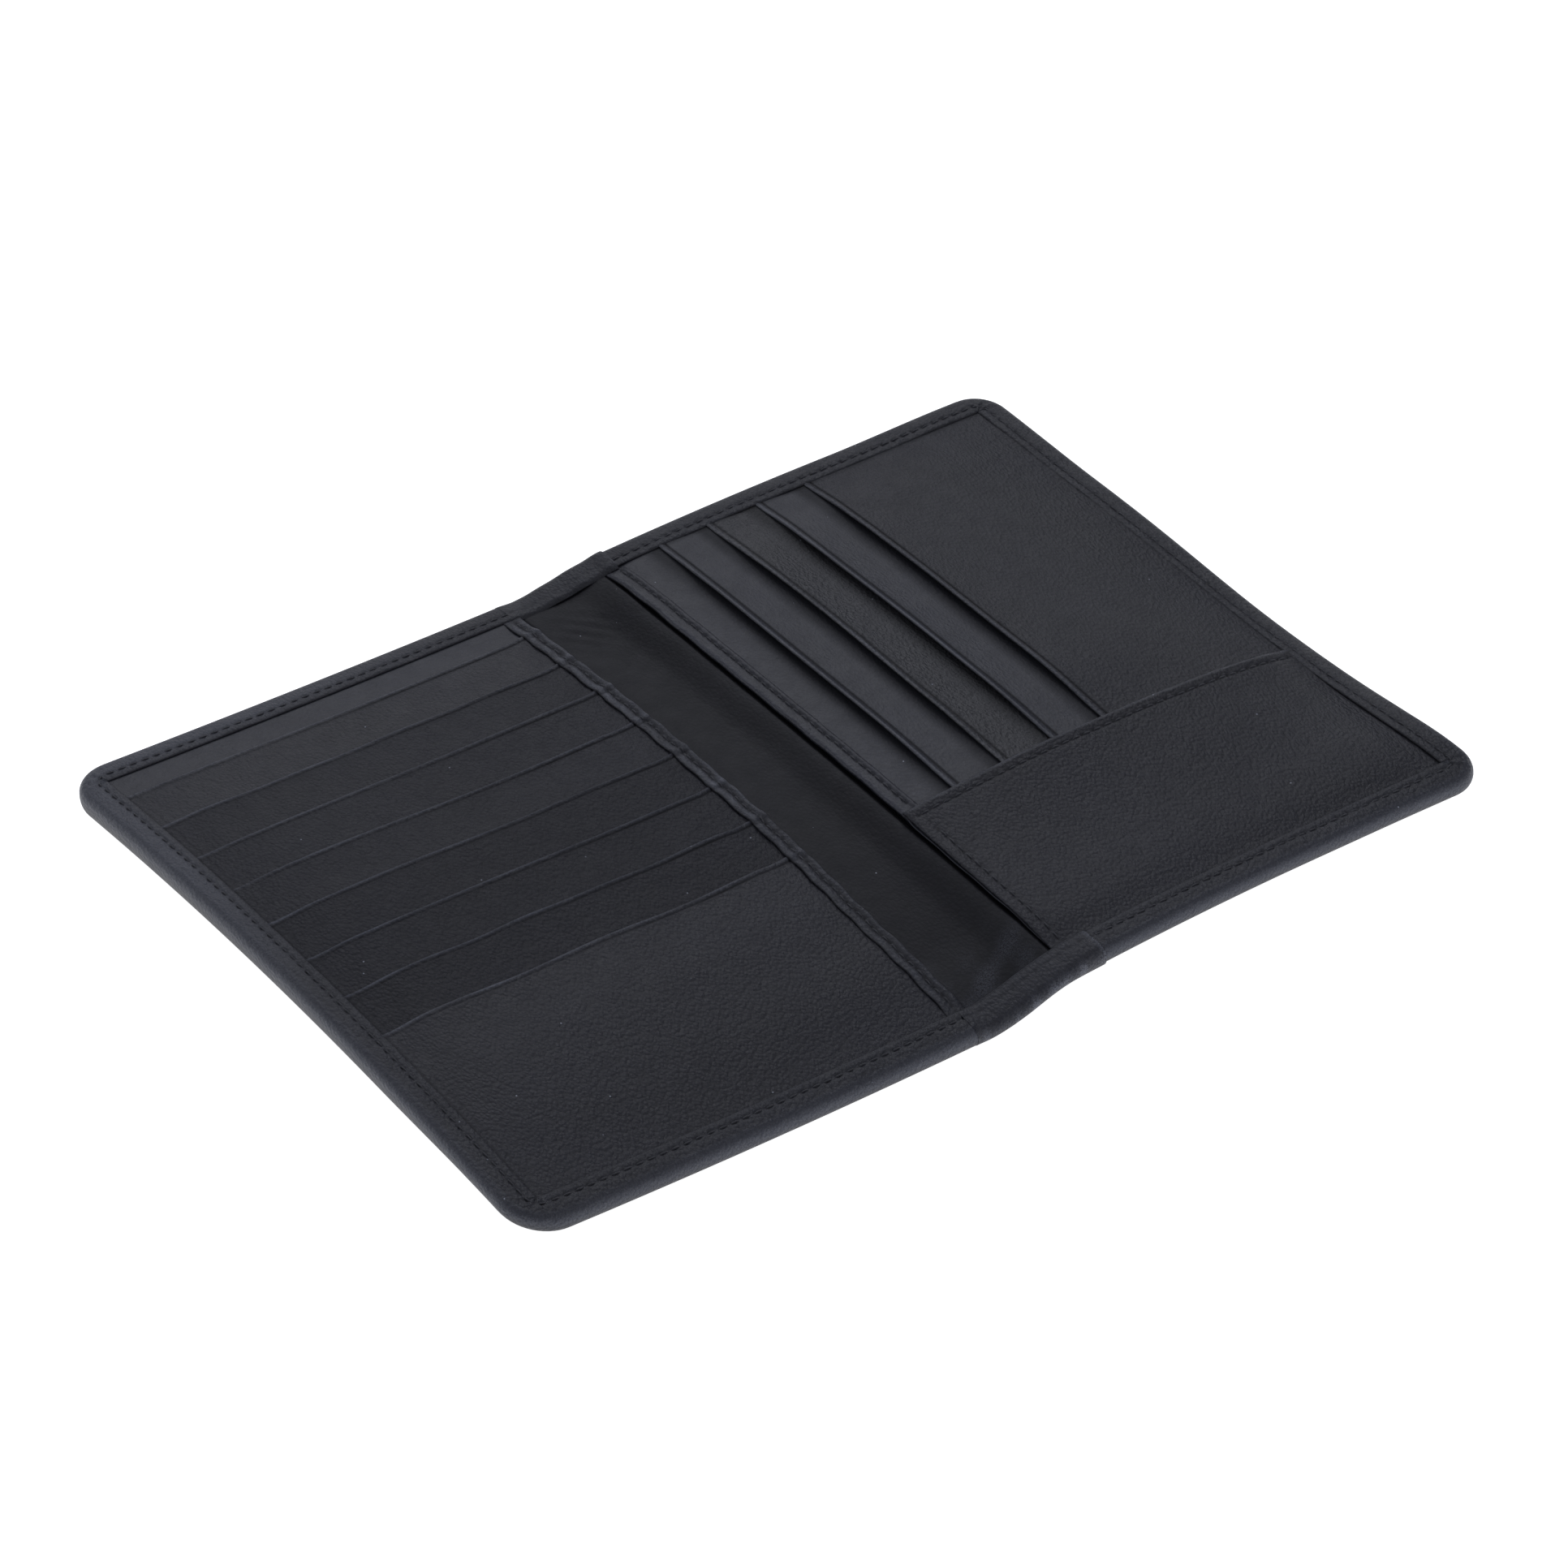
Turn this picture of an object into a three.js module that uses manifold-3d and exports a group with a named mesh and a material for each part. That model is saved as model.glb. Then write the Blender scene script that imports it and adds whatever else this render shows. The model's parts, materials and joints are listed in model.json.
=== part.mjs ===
// Leather passport wallet, lying open with its pockets up.
// Millimetres. X runs across both halves, Y along the spine (far end +Y), Z up.
// The origin is the middle of the open wallet, on the surface that it lies on.
import * as THREE from 'three';
import { mergeVertices } from 'three/addons/utils/BufferGeometryUtils.js';
import Module from 'manifold-3d';

const wasm = await Module();
wasm.setup();

// Open wallet
const HALF_LENGTH = 103; // middle of the spine to an outer side edge
const HALF_WIDTH = 72.5; // middle to the far or near edge
const CORNER_RADIUS = 9;
const CORNER_STEPS = 6;

// Layers, from the outside of the wallet inwards
const COVER_THICKNESS = 1.1;
const LAYER_GAP = 0.1;
const BOARD_THICKNESS = 0.5;
const LINING_THICKNESS = 0.3;
const SLIP_GAP = 0.15; // unpressed space of the slip pocket behind the pocket panels
const BACKING_THICKNESS = 0.3;
const HEM_THICKNESS = 1;
const HEM_WIDTH = 6.2;
const WINDOW_RADIUS = 0.25; // nearly square inner corners of the hem

const BOARD_Z = COVER_THICKNESS + LAYER_GAP;
const LINING_Z = BOARD_Z + BOARD_THICKNESS + LAYER_GAP;
const BACKING_Z = LINING_Z + LINING_THICKNESS + SLIP_GAP;
const HEM_Z = BACKING_Z + BACKING_THICKNESS + LAYER_GAP;
const RIM_Z = HEM_Z + HEM_THICKNESS;
const POCKET_Z = HEM_Z;
const WINDOW_X = HALF_LENGTH - HEM_WIDTH; // inner edges of the hem
const WINDOW_Y = HALF_WIDTH - HEM_WIDTH;

// Spine, which turns on a hinge line at each of its two long edges
const LEFT_HINGE_X = -6.2;
const RIGHT_HINGE_X = 8.2;
const HINGE_CLEARANCE = 0.3; // each side of a hinge line
const SPINE_X = [LEFT_HINGE_X + HINGE_CLEARANCE, RIGHT_HINGE_X - HINGE_CLEARANCE];
const HEM_END = 9.3; // the turned hem stops short of the hinge line
const SPINE_LINING_THICKNESS = 0.8;
const TAB_FLANGE = 6;
const TAB_WALL = 1.1;

// Card pockets. Each one overlaps the next like a roof tile.
const POCKET_THICKNESS = 0.45;
const POCKET_STEP = 0.55; // rise of the stack for each pocket lying below
const POCKET_DEPTH = 50; // a card is 54 mm deep and shows 4 mm
const POCKET_FIT = 0.2; // side clearance to the hem

const LEFT_EDGE_X = -9; // spine side of the left pocket panel
const LEFT_POCKETS = 8;
const LEFT_FIRST_MOUTH_Y = 59.8;
const LEFT_PITCH = 11.6;
const BINDING_WIDTH = 3.9;
const BINDING_THICKNESS = 0.6;
const BINDING_WALL = 0.4;

const RIGHT_EDGE_X = 10; // spine side of the right passport pocket
const RIGHT_POCKETS = 4;
const RIGHT_FIRST_MOUTH_X = 21.4;
const RIGHT_PITCH = 11.2;
const RIGHT_TUCK_Y = -25.6; // near ends of the right card pockets, under the bottom pocket
const TURNED_EDGE_WIDTH = 3.6;
const TURNED_EDGE_RISE = 0.6;

const BOTTOM_MOUTH_Y = -23.9;
const BOTTOM_MOUTH_RISE = 2.35; // over the card pockets
const BOTTOM_THICKNESS = 0.5;
const BOTTOM_FOLD_WIDTH = 5;
const BOTTOM_FOLD_RISE = 0.4;

// Sewing thread, laid as one run for each row of stitches
const THREAD_WIDTH = 0.6;
const THREAD_HEIGHT = 0.25;
const HEM_STITCH_INSET = 4.2;
const EDGE_STITCH_INSET = 2.2;

const LEATHER = { color: 0x2f3136, roughness: 0.55, metalness: 0 };
const POCKET_LEATHER = { color: 0x36383d, roughness: 0.5, metalness: 0 };
const LINING_LEATHER = { color: 0x27292c, roughness: 0.6, metalness: 0 };
const BOARD = { color: 0x8a8378, roughness: 0.9, metalness: 0 };
const THREAD = { color: 0x1c1d20, roughness: 0.7, metalness: 0 };

const wallet = new THREE.Group();

function addPart(name, geometry, finish) {
  const mesh = new THREE.Mesh(geometry, new THREE.MeshStandardMaterial(finish));
  mesh.name = name;
  wallet.add(mesh);
}

// ---- outlines and plates ----

// Points of one half's outline, from its far spine corner round to its near spine corner.
function halfOutline(side, spineX, inset, radius = CORNER_RADIUS - inset) {
  const outerX = HALF_LENGTH - inset;
  const outerY = HALF_WIDTH - inset;
  const points = [[spineX, outerY]];
  for (const [signY, from] of [[1, Math.PI / 2], [-1, 0]]) {
    for (let i = 0; i <= CORNER_STEPS; i += 1) {
      const angle = from - (Math.PI / 2) * (i / CORNER_STEPS);
      points.push([
        outerX - radius + radius * Math.cos(angle),
        signY * (outerY - radius) + radius * Math.sin(angle),
      ]);
    }
  }
  points.push([spineX, -outerY]);
  return points.map(([x, y]) => new THREE.Vector2(side * x, y));
}

function rectangle(x0, x1, y0, y1) {
  return [[x0, y0], [x1, y0], [x1, y1], [x0, y1]].map(([x, y]) => new THREE.Vector2(x, y));
}

// A flat plate with the given outline, from height z0 to z1.
function plate(points, z0, z1) {
  const geometry = new THREE.ExtrudeGeometry(new THREE.Shape(points), {
    depth: z1 - z0,
    bevelEnabled: false,
  });
  return geometry.translate(0, 0, z0);
}

// ---- sheets with a bent section ----

// Outline of a sheet whose lower face follows [position, height] points.
function sheetSection(lower, thickness) {
  const upper = lower.map(([u, z]) => [u, z + thickness]).reverse();
  return new THREE.Shape([...lower, ...upper].map(([u, z]) => new THREE.Vector2(u, z)));
}

// A section drawn in Y and Z, drawn out along X from x0 to x1.
function alongX(section, x0, x1) {
  const geometry = new THREE.ExtrudeGeometry(section, { depth: x1 - x0, bevelEnabled: false });
  const turn = new THREE.Matrix4().makeBasis(
    new THREE.Vector3(0, 1, 0),
    new THREE.Vector3(0, 0, 1),
    new THREE.Vector3(1, 0, 0),
  );
  return geometry.applyMatrix4(turn).translate(x0, 0, 0);
}

// A section drawn in X and Z, drawn out along Y from y0 to y1.
function alongY(section, y0, y1) {
  const geometry = new THREE.ExtrudeGeometry(section, { depth: y1 - y0, bevelEnabled: false });
  return geometry.rotateX(Math.PI / 2).translate(0, y1, 0);
}

// ---- joins and cuts ----

function toSolid(geometry) {
  const bare = geometry.clone();
  bare.deleteAttribute('normal');
  bare.deleteAttribute('uv');
  const merged = mergeVertices(bare, 1e-5);
  return new wasm.Manifold(new wasm.Mesh({
    numProp: 3,
    vertProperties: new Float32Array(merged.attributes.position.array),
    triVerts: new Uint32Array(merged.index.array),
  }));
}

function toGeometry(solid) {
  const { vertProperties, triVerts } = solid.getMesh();
  const geometry = new THREE.BufferGeometry();
  geometry.setAttribute('position', new THREE.BufferAttribute(new Float32Array(vertProperties), 3));
  geometry.setIndex(new THREE.BufferAttribute(new Uint32Array(triVerts), 1));
  geometry.computeVertexNormals();
  return geometry;
}

function cut(geometry, ...tools) {
  return toGeometry(tools.reduce((solid, tool) => solid.subtract(toSolid(tool)), toSolid(geometry)));
}

function join(first, ...rest) {
  return toGeometry(rest.reduce((solid, other) => solid.add(toSolid(other)), toSolid(first)));
}

// ---- outer leather ----

// Distance from the middle at which a half's outer leather and lining stop at the spine.
function coverEnd(side) {
  return HINGE_CLEARANCE + (side < 0 ? -LEFT_HINGE_X : RIGHT_HINGE_X);
}

// One half of the outer leather: a plate with its edges turned up and over as a hem.
function coverHalf(side) {
  const body = plate(halfOutline(side, coverEnd(side), 0), 0, RIM_Z);
  const inside = plate(halfOutline(side, 0, COVER_THICKNESS), COVER_THICKNESS, HEM_Z);
  const window = plate(halfOutline(side, 0, HEM_WIDTH, WINDOW_RADIUS), COVER_THICKNESS, RIM_Z + 1);
  const hemX = [0, side * HEM_END].sort((a, b) => a - b);
  const hemEnd = plate(rectangle(...hemX, -HALF_WIDTH - 1, HALF_WIDTH + 1), COVER_THICKNESS, RIM_Z + 1);
  return cut(body, inside, window, hemEnd);
}

function hemStitching(side) {
  const outer = halfOutline(side, HEM_END + 1, HEM_STITCH_INSET);
  const inner = halfOutline(side, HEM_END + 1, HEM_STITCH_INSET + THREAD_WIDTH).reverse();
  const base = RIM_Z + LAYER_GAP;
  return plate([...outer, ...inner], base, base + THREAD_HEIGHT);
}

// Thin leather tab turned in over one end of the spine.
function spineTab(end) {
  const outer = HALF_WIDTH;
  const wallInner = outer - TAB_WALL;
  const flangeInner = outer - TAB_FLANGE;
  const base = BOARD_Z + SPINE_LINING_THICKNESS + LAYER_GAP;
  const top = base + COVER_THICKNESS / 2;
  const points = [
    [outer, 0], [outer, top], [flangeInner, top], [flangeInner, base], [wallInner, base], [wallInner, 0],
  ];
  const section = new THREE.Shape(points.map(([y, z]) => new THREE.Vector2(end * y, z)));
  return alongX(section, ...SPINE_X);
}

function addOuterLeather() {
  addPart('cover_left', coverHalf(-1), LEATHER);
  addPart('cover_right', coverHalf(1), LEATHER);
  const spineEndY = HALF_WIDTH - TAB_WALL - LAYER_GAP;
  const spine = rectangle(...SPINE_X, -spineEndY, spineEndY);
  addPart('cover_spine', plate(spine, 0, COVER_THICKNESS), LEATHER);
  addPart('lining_spine', plate(spine, BOARD_Z, BOARD_Z + SPINE_LINING_THICKNESS), LINING_LEATHER);
  addPart('spine_tab_far', spineTab(1), LEATHER);
  addPart('spine_tab_near', spineTab(-1), LEATHER);
  addPart('hem_stitching_left', hemStitching(-1), THREAD);
  addPart('hem_stitching_right', hemStitching(1), THREAD);
}

// ---- hidden layers ----

function addInnerLayers() {
  const inset = COVER_THICKNESS + POCKET_FIT;
  for (const [name, side] of [['left', -1], ['right', 1]]) {
    const board = halfOutline(side, HEM_END, inset);
    const lining = halfOutline(side, coverEnd(side), inset);
    addPart(`board_${name}`, plate(board, BOARD_Z, BOARD_Z + BOARD_THICKNESS), BOARD);
    addPart(`lining_${name}`, plate(lining, LINING_Z, LINING_Z + LINING_THICKNESS), LINING_LEATHER);
  }
}

// ---- card pockets ----

// Lower face of one tiled pocket, as [distance past the first mouth, height] points.
// It lies level on the pockets below, then comes down where their tails end.
function pocketDrape(index, pitch, length) {
  const mouth = index * pitch;
  const tail = mouth + POCKET_DEPTH;
  const height = (u) => POCKET_Z + (POCKET_STEP / pitch) * (tail - Math.max(u, POCKET_DEPTH));
  const stops = [mouth, Math.min(tail, length)];
  if (mouth < POCKET_DEPTH && tail > POCKET_DEPTH) {
    stops.splice(1, 0, POCKET_DEPTH);
  }
  return stops.map((u) => [u, height(u)]);
}

function addLeftPockets() {
  const backingOutline = halfOutline(-1, -LEFT_EDGE_X + BINDING_WALL + LAYER_GAP, COVER_THICKNESS + POCKET_FIT);
  addPart('left_pocket_backing', plate(backingOutline, BACKING_Z, BACKING_Z + BACKING_THICKNESS), LEATHER);
  const length = LEFT_FIRST_MOUTH_Y + WINDOW_Y - POCKET_FIT;
  const x0 = -WINDOW_X + POCKET_FIT;
  const x1 = LEFT_EDGE_X - BINDING_WALL - LAYER_GAP;
  for (let i = 0; i < LEFT_POCKETS; i += 1) {
    const lower = pocketDrape(i, LEFT_PITCH, length).map(([u, z]) => [LEFT_FIRST_MOUTH_Y - u, z]);
    addPart(`left_card_pocket_${i + 1}`, alongX(sheetSection(lower, POCKET_THICKNESS), x0, x1), POCKET_LEATHER);
  }
}

// Line just above every left pocket mouth, as [y, height] points from the far to the near hem.
function leftCrown(clearance) {
  const length = LEFT_FIRST_MOUTH_Y + WINDOW_Y - POCKET_FIT;
  const top = POCKET_Z + POCKET_THICKNESS + clearance;
  const plateau = (POCKET_STEP / LEFT_PITCH) * POCKET_DEPTH;
  const lastMouth = (LEFT_POCKETS - 1) * LEFT_PITCH;
  const lastTail = lastMouth + POCKET_DEPTH;
  return [
    [WINDOW_Y - POCKET_FIT, top],
    [LEFT_FIRST_MOUTH_Y, top],
    [LEFT_FIRST_MOUTH_Y - POCKET_DEPTH, top + plateau],
    [LEFT_FIRST_MOUTH_Y - lastMouth, top + plateau],
    [LEFT_FIRST_MOUTH_Y - length, top + (POCKET_STEP / LEFT_PITCH) * (lastTail - length)],
  ];
}

// Leather strip wrapped round the spine side of the left pockets, and its row of stitches.
function addLeftBinding() {
  const crown = leftCrown(LAYER_GAP);
  const flange = alongX(sheetSection(crown, BINDING_THICKNESS), LEFT_EDGE_X - BINDING_WIDTH, LEFT_EDGE_X);
  const last = crown.length - 1;
  const wallPoints = [
    [crown[0][0], BACKING_Z],
    ...crown.map(([y, z]) => [y, z + BINDING_THICKNESS / 2]),
    [crown[last][0], BACKING_Z],
  ];
  const wallSection = new THREE.Shape(wallPoints.map(([y, z]) => new THREE.Vector2(y, z)));
  const wall = alongX(wallSection, LEFT_EDGE_X - BINDING_WALL, LEFT_EDGE_X);
  addPart('left_edge_binding', join(flange, wall), LEATHER);
  const thread = leftCrown(2 * LAYER_GAP + BINDING_THICKNESS);
  const threadX = LEFT_EDGE_X - (BINDING_WIDTH + THREAD_WIDTH) / 2;
  addPart(
    'left_binding_stitching',
    alongX(sheetSection(thread, THREAD_HEIGHT), threadX, threadX + THREAD_WIDTH),
    THREAD,
  );
}

function addRightPockets() {
  const panelOutline = halfOutline(1, RIGHT_EDGE_X, COVER_THICKNESS + POCKET_FIT);
  const panel = plate(panelOutline, BACKING_Z, BACKING_Z + BACKING_THICKNESS);
  const edgeY0 = BOTTOM_MOUTH_Y + POCKET_FIT;
  const edgeY1 = WINDOW_Y - POCKET_FIT;
  const edgeTop = BACKING_Z + BACKING_THICKNESS + TURNED_EDGE_RISE;
  const edge = rectangle(RIGHT_EDGE_X, RIGHT_EDGE_X + TURNED_EDGE_WIDTH, edgeY0, edgeY1);
  addPart('right_passport_pocket', join(panel, plate(edge, BACKING_Z, edgeTop)), LEATHER);
  const length = WINDOW_X - POCKET_FIT - RIGHT_FIRST_MOUTH_X;
  for (let i = 0; i < RIGHT_POCKETS; i += 1) {
    const lower = pocketDrape(i, RIGHT_PITCH, length).map(([u, z]) => [RIGHT_FIRST_MOUTH_X + u, z]);
    const section = sheetSection(lower, POCKET_THICKNESS);
    addPart(`right_card_pocket_${i + 1}`, alongY(section, RIGHT_TUCK_Y, edgeY1), POCKET_LEATHER);
  }
  const threadX = RIGHT_EDGE_X + EDGE_STITCH_INSET;
  const thread = rectangle(threadX, threadX + THREAD_WIDTH, edgeY0, edgeY1);
  const threadZ = edgeTop + LAYER_GAP;
  addPart('passport_edge_stitching', plate(thread, threadZ, threadZ + THREAD_HEIGHT), THREAD);
}

// ---- bottom pocket across the right half ----

// Height of the bottom pocket's lower face, which rises from the near hem to its mouth.
function bottomPocketZ(y) {
  const share = (y + WINDOW_Y) / (BOTTOM_MOUTH_Y + WINDOW_Y);
  return POCKET_Z + BOTTOM_MOUTH_RISE * share;
}

function addBottomPocket() {
  const hemY = -WINDOW_Y + POCKET_FIT;
  const foldY = BOTTOM_MOUTH_Y - BOTTOM_FOLD_WIDTH;
  const mouthTop = bottomPocketZ(BOTTOM_MOUTH_Y) + BOTTOM_THICKNESS + BOTTOM_FOLD_RISE;
  const foldBase = bottomPocketZ(foldY) + BOTTOM_THICKNESS;
  const section = new THREE.Shape([
    [hemY, bottomPocketZ(hemY)],
    [BOTTOM_MOUTH_Y, bottomPocketZ(BOTTOM_MOUTH_Y)],
    [BOTTOM_MOUTH_Y, mouthTop],
    [foldY, foldBase + BOTTOM_FOLD_RISE],
    [foldY, foldBase],
    [hemY, bottomPocketZ(hemY) + BOTTOM_THICKNESS],
  ].map(([y, z]) => new THREE.Vector2(y, z)));
  const x1 = WINDOW_X - POCKET_FIT;
  addPart('right_bottom_pocket', alongX(section, RIGHT_EDGE_X, x1), LEATHER);

  const raised = BOTTOM_THICKNESS + BOTTOM_FOLD_RISE + LAYER_GAP;
  const rowY = BOTTOM_MOUTH_Y - EDGE_STITCH_INSET;
  const row = [rowY - THREAD_WIDTH, rowY].map((y) => [y, bottomPocketZ(y) + raised]);
  const threadX = RIGHT_EDGE_X + EDGE_STITCH_INSET;
  addPart('bottom_mouth_stitching', alongX(sheetSection(row, THREAD_HEIGHT), threadX, x1), THREAD);

  const flat = BOTTOM_THICKNESS + LAYER_GAP;
  const sideRow = [hemY, foldY - LAYER_GAP].map((y) => [y, bottomPocketZ(y) + flat]);
  const sideThread = alongX(sheetSection(sideRow, THREAD_HEIGHT), threadX, threadX + THREAD_WIDTH);
  addPart('bottom_side_stitching', sideThread, THREAD);
}

addOuterLeather();
addInnerLayers();
addLeftPockets();
addLeftBinding();
addRightPockets();
addBottomPocket();

export default wallet;
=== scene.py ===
"""Leather passport wallet, lying open with its pockets up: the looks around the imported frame.

Sizes in this script are millimetres in the frame's own axes, and become metres where a mesh is made.
X runs across both halves, Y along the spine (far end +Y), Z up.
Every panel is first drawn flat, and settle() then gives it the relaxed curl of the resting wallet.
"""

import json
import math

import bmesh
import bpy
import numpy as np
from mathutils import Matrix, Vector


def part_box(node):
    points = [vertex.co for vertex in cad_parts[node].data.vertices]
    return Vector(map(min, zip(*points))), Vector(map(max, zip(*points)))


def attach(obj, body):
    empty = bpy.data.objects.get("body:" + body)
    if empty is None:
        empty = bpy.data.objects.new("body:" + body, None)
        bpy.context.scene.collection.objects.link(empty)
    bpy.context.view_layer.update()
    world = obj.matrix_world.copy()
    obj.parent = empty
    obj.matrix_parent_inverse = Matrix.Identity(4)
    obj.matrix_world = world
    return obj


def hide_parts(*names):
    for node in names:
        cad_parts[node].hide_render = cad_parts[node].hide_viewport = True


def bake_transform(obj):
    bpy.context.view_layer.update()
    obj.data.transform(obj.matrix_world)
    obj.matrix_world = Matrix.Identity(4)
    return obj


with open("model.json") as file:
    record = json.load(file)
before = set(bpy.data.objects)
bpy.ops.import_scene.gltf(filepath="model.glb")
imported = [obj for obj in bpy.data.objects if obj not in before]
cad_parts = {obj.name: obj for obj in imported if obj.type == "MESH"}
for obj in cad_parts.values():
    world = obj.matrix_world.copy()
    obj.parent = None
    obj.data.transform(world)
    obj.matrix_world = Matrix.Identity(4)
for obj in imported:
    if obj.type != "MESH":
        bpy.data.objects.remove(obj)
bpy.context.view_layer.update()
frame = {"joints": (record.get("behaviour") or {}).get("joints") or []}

MM = 0.001


def node_box(node):
    """Lowest and highest corner of a CAD node, in millimetres."""
    low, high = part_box(node)
    return np.array(low) / MM, np.array(high) / MM


# ---- driving sizes, from the frame ----

HALF_LENGTH, HALF_WIDTH, RIM_Z = node_box("cover_right")[1]
CORNER_RADIUS = {-1: 9.0, 1: 7.2}  # left and right outer corners, as the leather has settled
HEM_WIDTH = 6.2
WINDOW_X = HALF_LENGTH - HEM_WIDTH
WINDOW_Y = HALF_WIDTH - HEM_WIDTH
COVER_THICKNESS = 1.1
BACKING_Z = node_box("left_pocket_backing")[0][2]
POCKET_Z = node_box("left_card_pocket_1")[0][2]
LINING_Z = node_box("lining_spine")[0][2]

HINGE_X = {joint["name"]: joint["pos_m"][0] / MM for joint in frame["joints"]}
LEFT_HINGE_X = HINGE_X["left_fold"]
RIGHT_HINGE_X = HINGE_X["right_fold"]
SPINE_MIDDLE = (LEFT_HINGE_X + RIGHT_HINGE_X) / 2
HALF_NAME = {-1: "left", 1: "right"}

LEFT_EDGE_X = node_box("left_edge_binding")[1][0]
BINDING_X = node_box("left_edge_binding")[0][0]
RIGHT_EDGE_X = node_box("right_passport_pocket")[0][0]
LEFT_MOUTHS = [node_box(f"left_card_pocket_{i + 1}")[1][1] for i in range(8)]
RIGHT_MOUTHS = [node_box(f"right_card_pocket_{i + 1}")[0][0] for i in range(4)]
RIGHT_TUCK_Y = node_box("right_card_pocket_1")[0][1]
BOTTOM_MOUTH_Y = node_box("right_bottom_pocket")[1][1]

POCKET_THICKNESS = 0.3
BACKING_THICKNESS = 0.33
POCKET_STEP = 0.34
POCKET_DEPTH = 50.0
POCKET_CLEARANCE = 0.03  # free height under the lowest pocket
UNDER_HEM = 1.4  # how far the panels run in under the hem
TUCK_X = WINDOW_X + UNDER_HEM
TUCK_Y = WINDOW_Y + UNDER_HEM

STITCH_PITCH = 2.4
HEM_STITCH_INSET = 4.35
EDGE_STITCH_INSET = 2.5
MOUTH_STITCH_INSET = 2.4
THREAD_RADIUS = 0.2
THREAD_ARCH = 0.16  # a thread rises this much between its two holes
THREAD_SINK = 0.24  # and its ends lie this far under the row's surface
PANEL_ROW_LIFT = 0.12  # rows on the panels are taken from this far above the pulled-in leather
ROUTE_STEP = 0.4


# ---- small mathematics ----

def smooth(t):
    """Rises smoothly from 0 to 1 as t does."""
    t = np.clip(t, 0.0, 1.0)
    return t * t * (3 - 2 * t)


def grow(low, t):
    """Rises smoothly from low to 1 as t goes from 0 to 1."""
    return low + (1 - low) * smooth(t)


def bump(distance, width):
    """A smooth hump of height 1 where distance is 0."""
    return np.exp(-((distance / width) ** 2))


def ridge(distance, shape):
    """A ridge or groove whose shape is (height, distance, width)."""
    height, place, width = shape
    return height * bump(distance - place, width)


def fade(distance, reach):
    """1 where distance is 0 or less, dying away over reach."""
    return np.exp(-np.clip(distance, 0, None) / reach)


def distances(route):
    """How far along a route of (x, y) points each of them lies."""
    return np.concatenate([[0], np.cumsum(np.hypot(*np.diff(route, axis=0).T))])


def ripples(seed, wavelengths):
    """A wavy function of x and maybe y, about 1 high, made of seeded sine waves."""
    rng = np.random.default_rng(seed)
    angles = rng.uniform(0, 2 * math.pi, len(wavelengths))
    phases = rng.uniform(0, 2 * math.pi, len(wavelengths))

    def height(x, y=0.0):
        total = 0.0
        for wavelength, angle, phase in zip(wavelengths, angles, phases):
            along = x * math.cos(angle) + y * math.sin(angle)
            total = total + np.sin(2 * math.pi * along / wavelength + phase)
        return total / math.sqrt(len(wavelengths))

    return height


# ---- the relaxed curl of the whole wallet ----

REST_DROP = 0.8  # the curl is set this much lower, so that the halves clear each other when shut

# Heights of the curl over the flat pattern. The crown lifts a half's middle over its far and near
# edges, the arch lifts its middle between outer edge and spine, tilt and twist turn its edges.
LEFT_OUTER_RISE = 5.2
LEFT_SPINE_RISE = 0.6
LEFT_CROWN = 4.2
LEFT_ARCH = -0.6
LEFT_TILT = -0.2
LEFT_TWIST = 0.8
LEFT_SKEW = 0.2

RIGHT_OUTER_RISE = 1.3
RIGHT_SPINE_RISE = 3.9
RIGHT_CROWN = 1.2
RIGHT_ARCH = 1.35
RIGHT_TILT = -0.2
RIGHT_TWIST = -0.2
RIGHT_SKEW = -0.25

# The right outer edge waves: it swells near its near corner, dips in the middle, and its far
# corner is lifted.
OUTER_WAVE_REACH = 40.0
NEAR_SWELL = 1.9
NEAR_SWELL_Y = -60.0
NEAR_SWELL_WIDTH = 16
OUTER_DIP = 1.7
OUTER_DIP_Y = -12.0
OUTER_DIP_WIDTH = 28
FAR_CORNER_LIFT = 1.1


def left_curl(x, v):
    """Curl of the left half, where v runs from -1 at the near edge to 1 at the far edge."""
    u = np.clip((x + HALF_LENGTH) / (HALF_LENGTH + LEFT_EDGE_X), 0, 1.1)
    arch = 4 * u * (1 - u)
    ends = LEFT_OUTER_RISE * (1 - u) + LEFT_SPINE_RISE * u + (LEFT_TILT + LEFT_TWIST * u) * v
    return ends + (LEFT_ARCH + LEFT_SKEW * v) * arch + LEFT_CROWN * (1 - v * v)


def right_curl(x, v):
    """Curl of the right half, in the same way."""
    u = np.clip((HALF_LENGTH - x) / (HALF_LENGTH - RIGHT_EDGE_X), 0, 1.1)
    arch = 4 * u * (1 - u)
    ends = RIGHT_OUTER_RISE * (1 - u) + RIGHT_SPINE_RISE * u + (RIGHT_TILT + RIGHT_TWIST * u) * v
    outer = (1 - np.clip((HALF_LENGTH - x) / OUTER_WAVE_REACH, 0, 1)) ** 2
    y = v * HALF_WIDTH
    wave = NEAR_SWELL * bump(y - NEAR_SWELL_Y, NEAR_SWELL_WIDTH)
    wave = wave - OUTER_DIP * bump(y - OUTER_DIP_Y, OUTER_DIP_WIDTH)
    far_corner = FAR_CORNER_LIFT * smooth((x - 65) / 35) * smooth((v - 0.5) / 0.5)
    middle = (RIGHT_ARCH + RIGHT_SKEW * v) * arch + RIGHT_CROWN * (1 - v * v)
    return ends + middle + wave * outer + far_corner


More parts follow.
